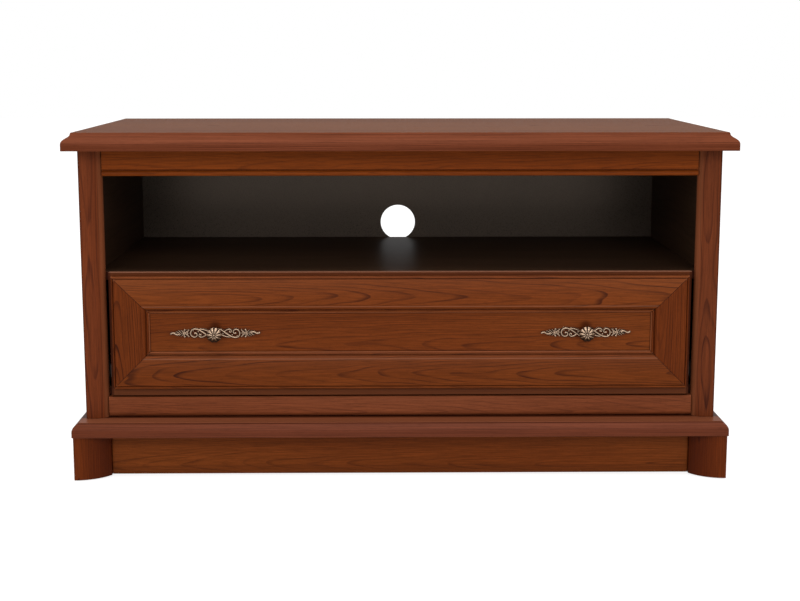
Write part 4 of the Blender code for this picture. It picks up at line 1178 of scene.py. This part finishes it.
def make_petal_ring():
    """Sets one petal after another round the knob's axis."""
    tree, given, sockets = repeating_tree("petal_ring", (
        ("Petal", "NodeSocketGeometry"), ("Count", "NodeSocketInt"), ("Finish", "NodeSocketMaterial"),
    ))
    places = add_node(tree, "GeometryNodePoints", {}, {"Count": given["Count"]})
    step = reckon(tree, "DIVIDE", 2 * math.pi, given["Count"])
    angle = reckon(tree, "MULTIPLY", tree.nodes.new("GeometryNodeInputIndex").outputs[0], step)
    turn = add_node(tree, "ShaderNodeCombineXYZ", {}, {"Z": angle})
    turn = add_node(tree, "FunctionNodeEulerToRotation", {}, {0: turn.outputs[0]})
    ring = add_node(tree, "GeometryNodeInstanceOnPoints", {},
                    {"Points": places.outputs[0], "Instance": given["Petal"], "Rotation": turn.outputs[0]})
    end_tree(tree, ring, given["Finish"])
    return tree, sockets


def petal_mesh():
    """One lobe from the button to the rim: narrow inside, full outside, bent over the dome."""
    shell = bmesh.new()
    bmesh.ops.create_uvsphere(shell, u_segments=20, v_segments=12, radius=1.0)
    reach = PETAL_TIP - PETAL_ROOT
    for vert in shell.verts:
        share = 1 - max(0.0, (1 - vert.co.x) / 2) ** 1.6
        out = PETAL_ROOT + reach * share
        half = (0.28 - 0.05 * share) * (PETAL_ROOT + reach * min(1.0, share + 0.12))
        fall = KNOB_TOP - 1.9 - 4.2 * (out / PETAL_TIP) ** 2
        vert.co = (out, vert.co.y * half, fall + vert.co.z * (1.2 + 0.9 * share))
    return meshed(shell, "petal")


def knob_mesh(finish):
    """The cast knob: a flared neck, a bowl, ten petals and a button."""
    tree, sockets = make_petal_ring()
    petal = loose_object("petal", petal_mesh())
    ring = modified(petal, "ring", "NODES", node_group=tree)
    ring[sockets["Count"]] = PETALS
    ring[sockets["Finish"]] = finish
    shell = bmesh.new()
    shell.from_mesh(settled(petal, "petals"))
    neck = [(radius, KNOB_SEAT + height) for radius, height in NECK]
    shell.from_mesh(turned_mesh("knob_neck", neck, sides=40))
    add_bead(shell, 0.0, 0.0, radius=2.1, lift=KNOB_TOP - 1.7, squash=(1.0, 1.0, 0.8))
    return cast("knob", shell)


def hollows(shell):
    """How deep each point lies among its neighbours, in grains of the casting, evened out three times."""
    depths = []
    for vert in shell.verts:
        around = [edge.other_vert(vert).co for edge in vert.link_edges]
        depths.append((sum(around, Vector()) / len(around) - vert.co).dot(vert.normal) / CAST_GRAIN)
    for _ in range(3):
        evened = []
        for vert in shell.verts:
            around = [depths[edge.other_vert(vert).index] for edge in vert.link_edges]
            evened.append((depths[vert.index] + sum(around)) / (1 + len(around)))
        depths = evened
    return depths


def petal_mark(place):
    """More dark oxide in the grooves between petals; the upper petals are painted lighter and the lower
    ones darker, as painted light from above.
    """
    turns = PETALS * math.atan2(place.y, place.x) / (2 * math.pi)
    off_petal = abs((turns + 0.5) % 1.0 - 0.5) * 2
    groove = 0.7 * min(1.0, max(0.0, (off_petal - 0.48) / 0.3))
    return groove * (place.xy.length > PETAL_ROOT * MILLIMETRE) - 0.22 * place.y / (PETAL_TIP * MILLIMETRE)


def mark_age_and_shade(mesh, start, low, high, hollow, depth, under, petals=False):
    """Marks how dark the brass stays: oxide in hollows, deep in the casting and between petals, and painted
    shade on lower faces.
    """
    shell = bmesh.new()
    shell.from_mesh(mesh)
    marks = mesh.attributes.new("patina_and_shade", "FLOAT", "POINT")
    for vert, dip in zip(shell.verts, hollows(shell)):
        sunk = (high - vert.co.z) / (high - low)
        mark = start + hollow * dip + depth * (sunk - EVEN_DEPTH) - under * vert.normal.y
        if petals:
            mark += petal_mark(vert.co)
        marks.data[vert.index].value = min(1.0, max(0.0, mark))
    shell.free()


def make_brass():
    """Antique brass: bright where hands and cloths rub it, dark brown where they don't reach, and darker on
    lower faces as painted shade.
    """
    material, tree, shader = principled("antique_brass")
    spot = own_place(tree)
    mark = add_node(tree, "ShaderNodeAttribute", {"attribute_name": "patina_and_shade"}, {}).outputs["Fac"]
    cloud = even_noise(tree, spot, BRASS_CLOUDS, 4.0)
    dark = reckon(tree, "ADD", mark, spread(tree, cloud, 0.25, 0.75, -0.16, 0.16))
    shade = blended(tree, spread(tree, dark, 0.10, 0.50), paint(*BRASS_BRIGHT), paint(*BRASS_WARM))
    shade = blended(tree, spread(tree, dark, 0.38, 0.72), shade, paint(*BRASS_PATINA))
    feed(tree, shader, {
        "Base Color": shade, "Roughness": spread(tree, dark, 0.2, 0.75, 0.26, 0.62),
        "Metallic": spread(tree, dark, 0.45, 0.85, 1.0, 0.35), "Specular IOR Level": 0.15,
    })
    pits = even_noise(tree, spot, BRASS_PITS, 2.0)
    bumped(tree, shader, pits, distance=0.00004, strength=0.3)
    return material


def fit_handles():
    """Sets a plate and a knob on the drawer front at each of the two packed handles."""
    brass = make_brass()
    plate, knob = plate_mesh(), knob_mesh(brass)
    # Under sets the painted shade on faces that look down.
    mark_age_and_shade(plate, start=0.44, low=0.0, high=PLATE_RELIEF, hollow=7.0, depth=1.5, under=0.10)
    mark_age_and_shade(knob, start=0.72, low=0.010, high=KNOB_TOP * MILLIMETRE, hollow=14.0, depth=0.55, under=0.40,
        petals=True)
    face_front = Matrix.Rotation(math.radians(90), 4, "X")
    for side in ("left", "right"):
        low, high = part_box(side + "_handle_plate")
        middle = Matrix.Translation(((low.x + high.x) / 2, high.y, (low.z + high.z) / 2))
        for node, mesh in ((side + "_handle_plate", plate), (side + "_knob", knob)):
            own = mesh.copy()
            own.transform(middle @ face_front)
            own.materials.clear()
            own.materials.append(brass)
            own.shade_smooth()
            piece = loose_object(node + "_cast", own)
            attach(piece, "drawer")
            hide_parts(node)
        clad(side + "_handle_screw", zinc_steel)


fit_handles()

# Studio: a plain white floor and backdrop, wide soft lamps in front and above, and the camera.
# The floor shows white to the lens and to reflections, and keeps a faint shadow of the cabinet.
FLOOR_HALF = 14.0
FLOOR_BOUNCE = 0.75
FLOOR_GLOW = 0.80
FLOOR_CATCH = 0.42
SKY_LIGHT = 0.85


def grey(share):
    """A grey that gives back this share of the light."""
    return (share, share, share, 1.0)


def seen_directly(tree):
    """1 for rays that the lens, a mirror or a pane sends out, 0 for the light itself."""
    rays = tree.nodes.new("ShaderNodeLightPath").outputs
    plain = reckon(tree, "MAXIMUM", rays["Is Camera Ray"], rays["Is Glossy Ray"])
    return reckon(tree, "MAXIMUM", plain, rays["Is Transmission Ray"])


def make_floor():
    """The white floor, with the shadow kept in the part that it catches from the lamps."""
    material, tree, _ = principled("studio_white")
    tree.nodes.clear()
    lit = add_node(tree, "ShaderNodeBsdfDiffuse", {}, {"Color": grey(FLOOR_BOUNCE)})
    caught = add_node(tree, "ShaderNodeBsdfDiffuse", {}, {"Color": grey(FLOOR_CATCH)})
    glow = add_node(tree, "ShaderNodeEmission", {}, {"Color": grey(1.0), "Strength": FLOOR_GLOW})
    shown = add_node(tree, "ShaderNodeAddShader", {}, {0: caught.outputs[0], 1: glow.outputs[0]})
    mixed = add_node(tree, "ShaderNodeMixShader", {},
                     {0: seen_directly(tree), 1: lit.outputs[0], 2: shown.outputs[0]})
    add_node(tree, "ShaderNodeOutputMaterial", {}, {"Surface": mixed.outputs[0]})
    corners = [(FLOOR_HALF * x, FLOOR_HALF * y, 0) for x, y in ((-1, -1), (1, -1), (1, 1), (-1, 1))]
    mesh = bpy.data.meshes.new("studio_floor")
    mesh.from_pydata(corners, [], [(0, 1, 2, 3)])
    mesh.materials.append(material)
    loose_object("studio_floor", mesh)


def make_sky():
    """Even white light all round, shown as plain white."""
    world = bpy.data.worlds.new("studio_sky")
    world.use_nodes = True
    bpy.context.scene.world = world
    tree = world.node_tree
    strength = add_node(tree, "ShaderNodeMapRange", {},
                        {"Value": seen_directly(tree), "To Min": SKY_LIGHT, "To Max": 1.0})
    feed(tree, tree.nodes["Background"], {"Color": grey(1.0), "Strength": strength.outputs[0]})


def softbox(name, place, target, size, power):
    """A wide soft lamp that faces the target."""
    lamp = bpy.data.lights.new(name, "AREA")
    lamp.shape = "RECTANGLE"
    lamp.size, lamp.size_y = size
    lamp.energy = power
    held = loose_object(name, lamp)
    held.location = place
    held.rotation_euler = (Vector(target) - Vector(place)).to_track_quat("-Z", "Y").to_euler()


make_floor()
make_sky()
softbox("front_softbox", place=(0.0, -3.3, 1.9), target=(0.0, -0.25, 0.35), size=(3.4, 1.2), power=44.0)
softbox("overhead_softbox", place=(0.0, -0.9, 3.0), target=(0.0, -0.2, 0.4), size=(2.6, 0.9), power=36.0)

PICTURE_WIDTH = 800
FOCAL_PIXELS = 1406.4
SENSOR = 36.0
CAMERA_PLACE = (-0.0328, -2.7641, 0.7748)
CAMERA_PITCH = 0.1579
CAMERA_TURN = -0.0124
CAMERA_SHIFT = -0.03
lens = bpy.data.cameras.new("camera")
lens.sensor_width = SENSOR
lens.lens = SENSOR * FOCAL_PIXELS / PICTURE_WIDTH
lens.shift_y = CAMERA_SHIFT
lens.clip_end = 100.0
camera = loose_object("camera", lens)
camera.location = CAMERA_PLACE
camera.rotation_euler = (math.pi / 2 - CAMERA_PITCH, 0.0, CAMERA_TURN)
bpy.context.scene.camera = camera
bpy.context.scene.view_settings.view_transform = "Standard"
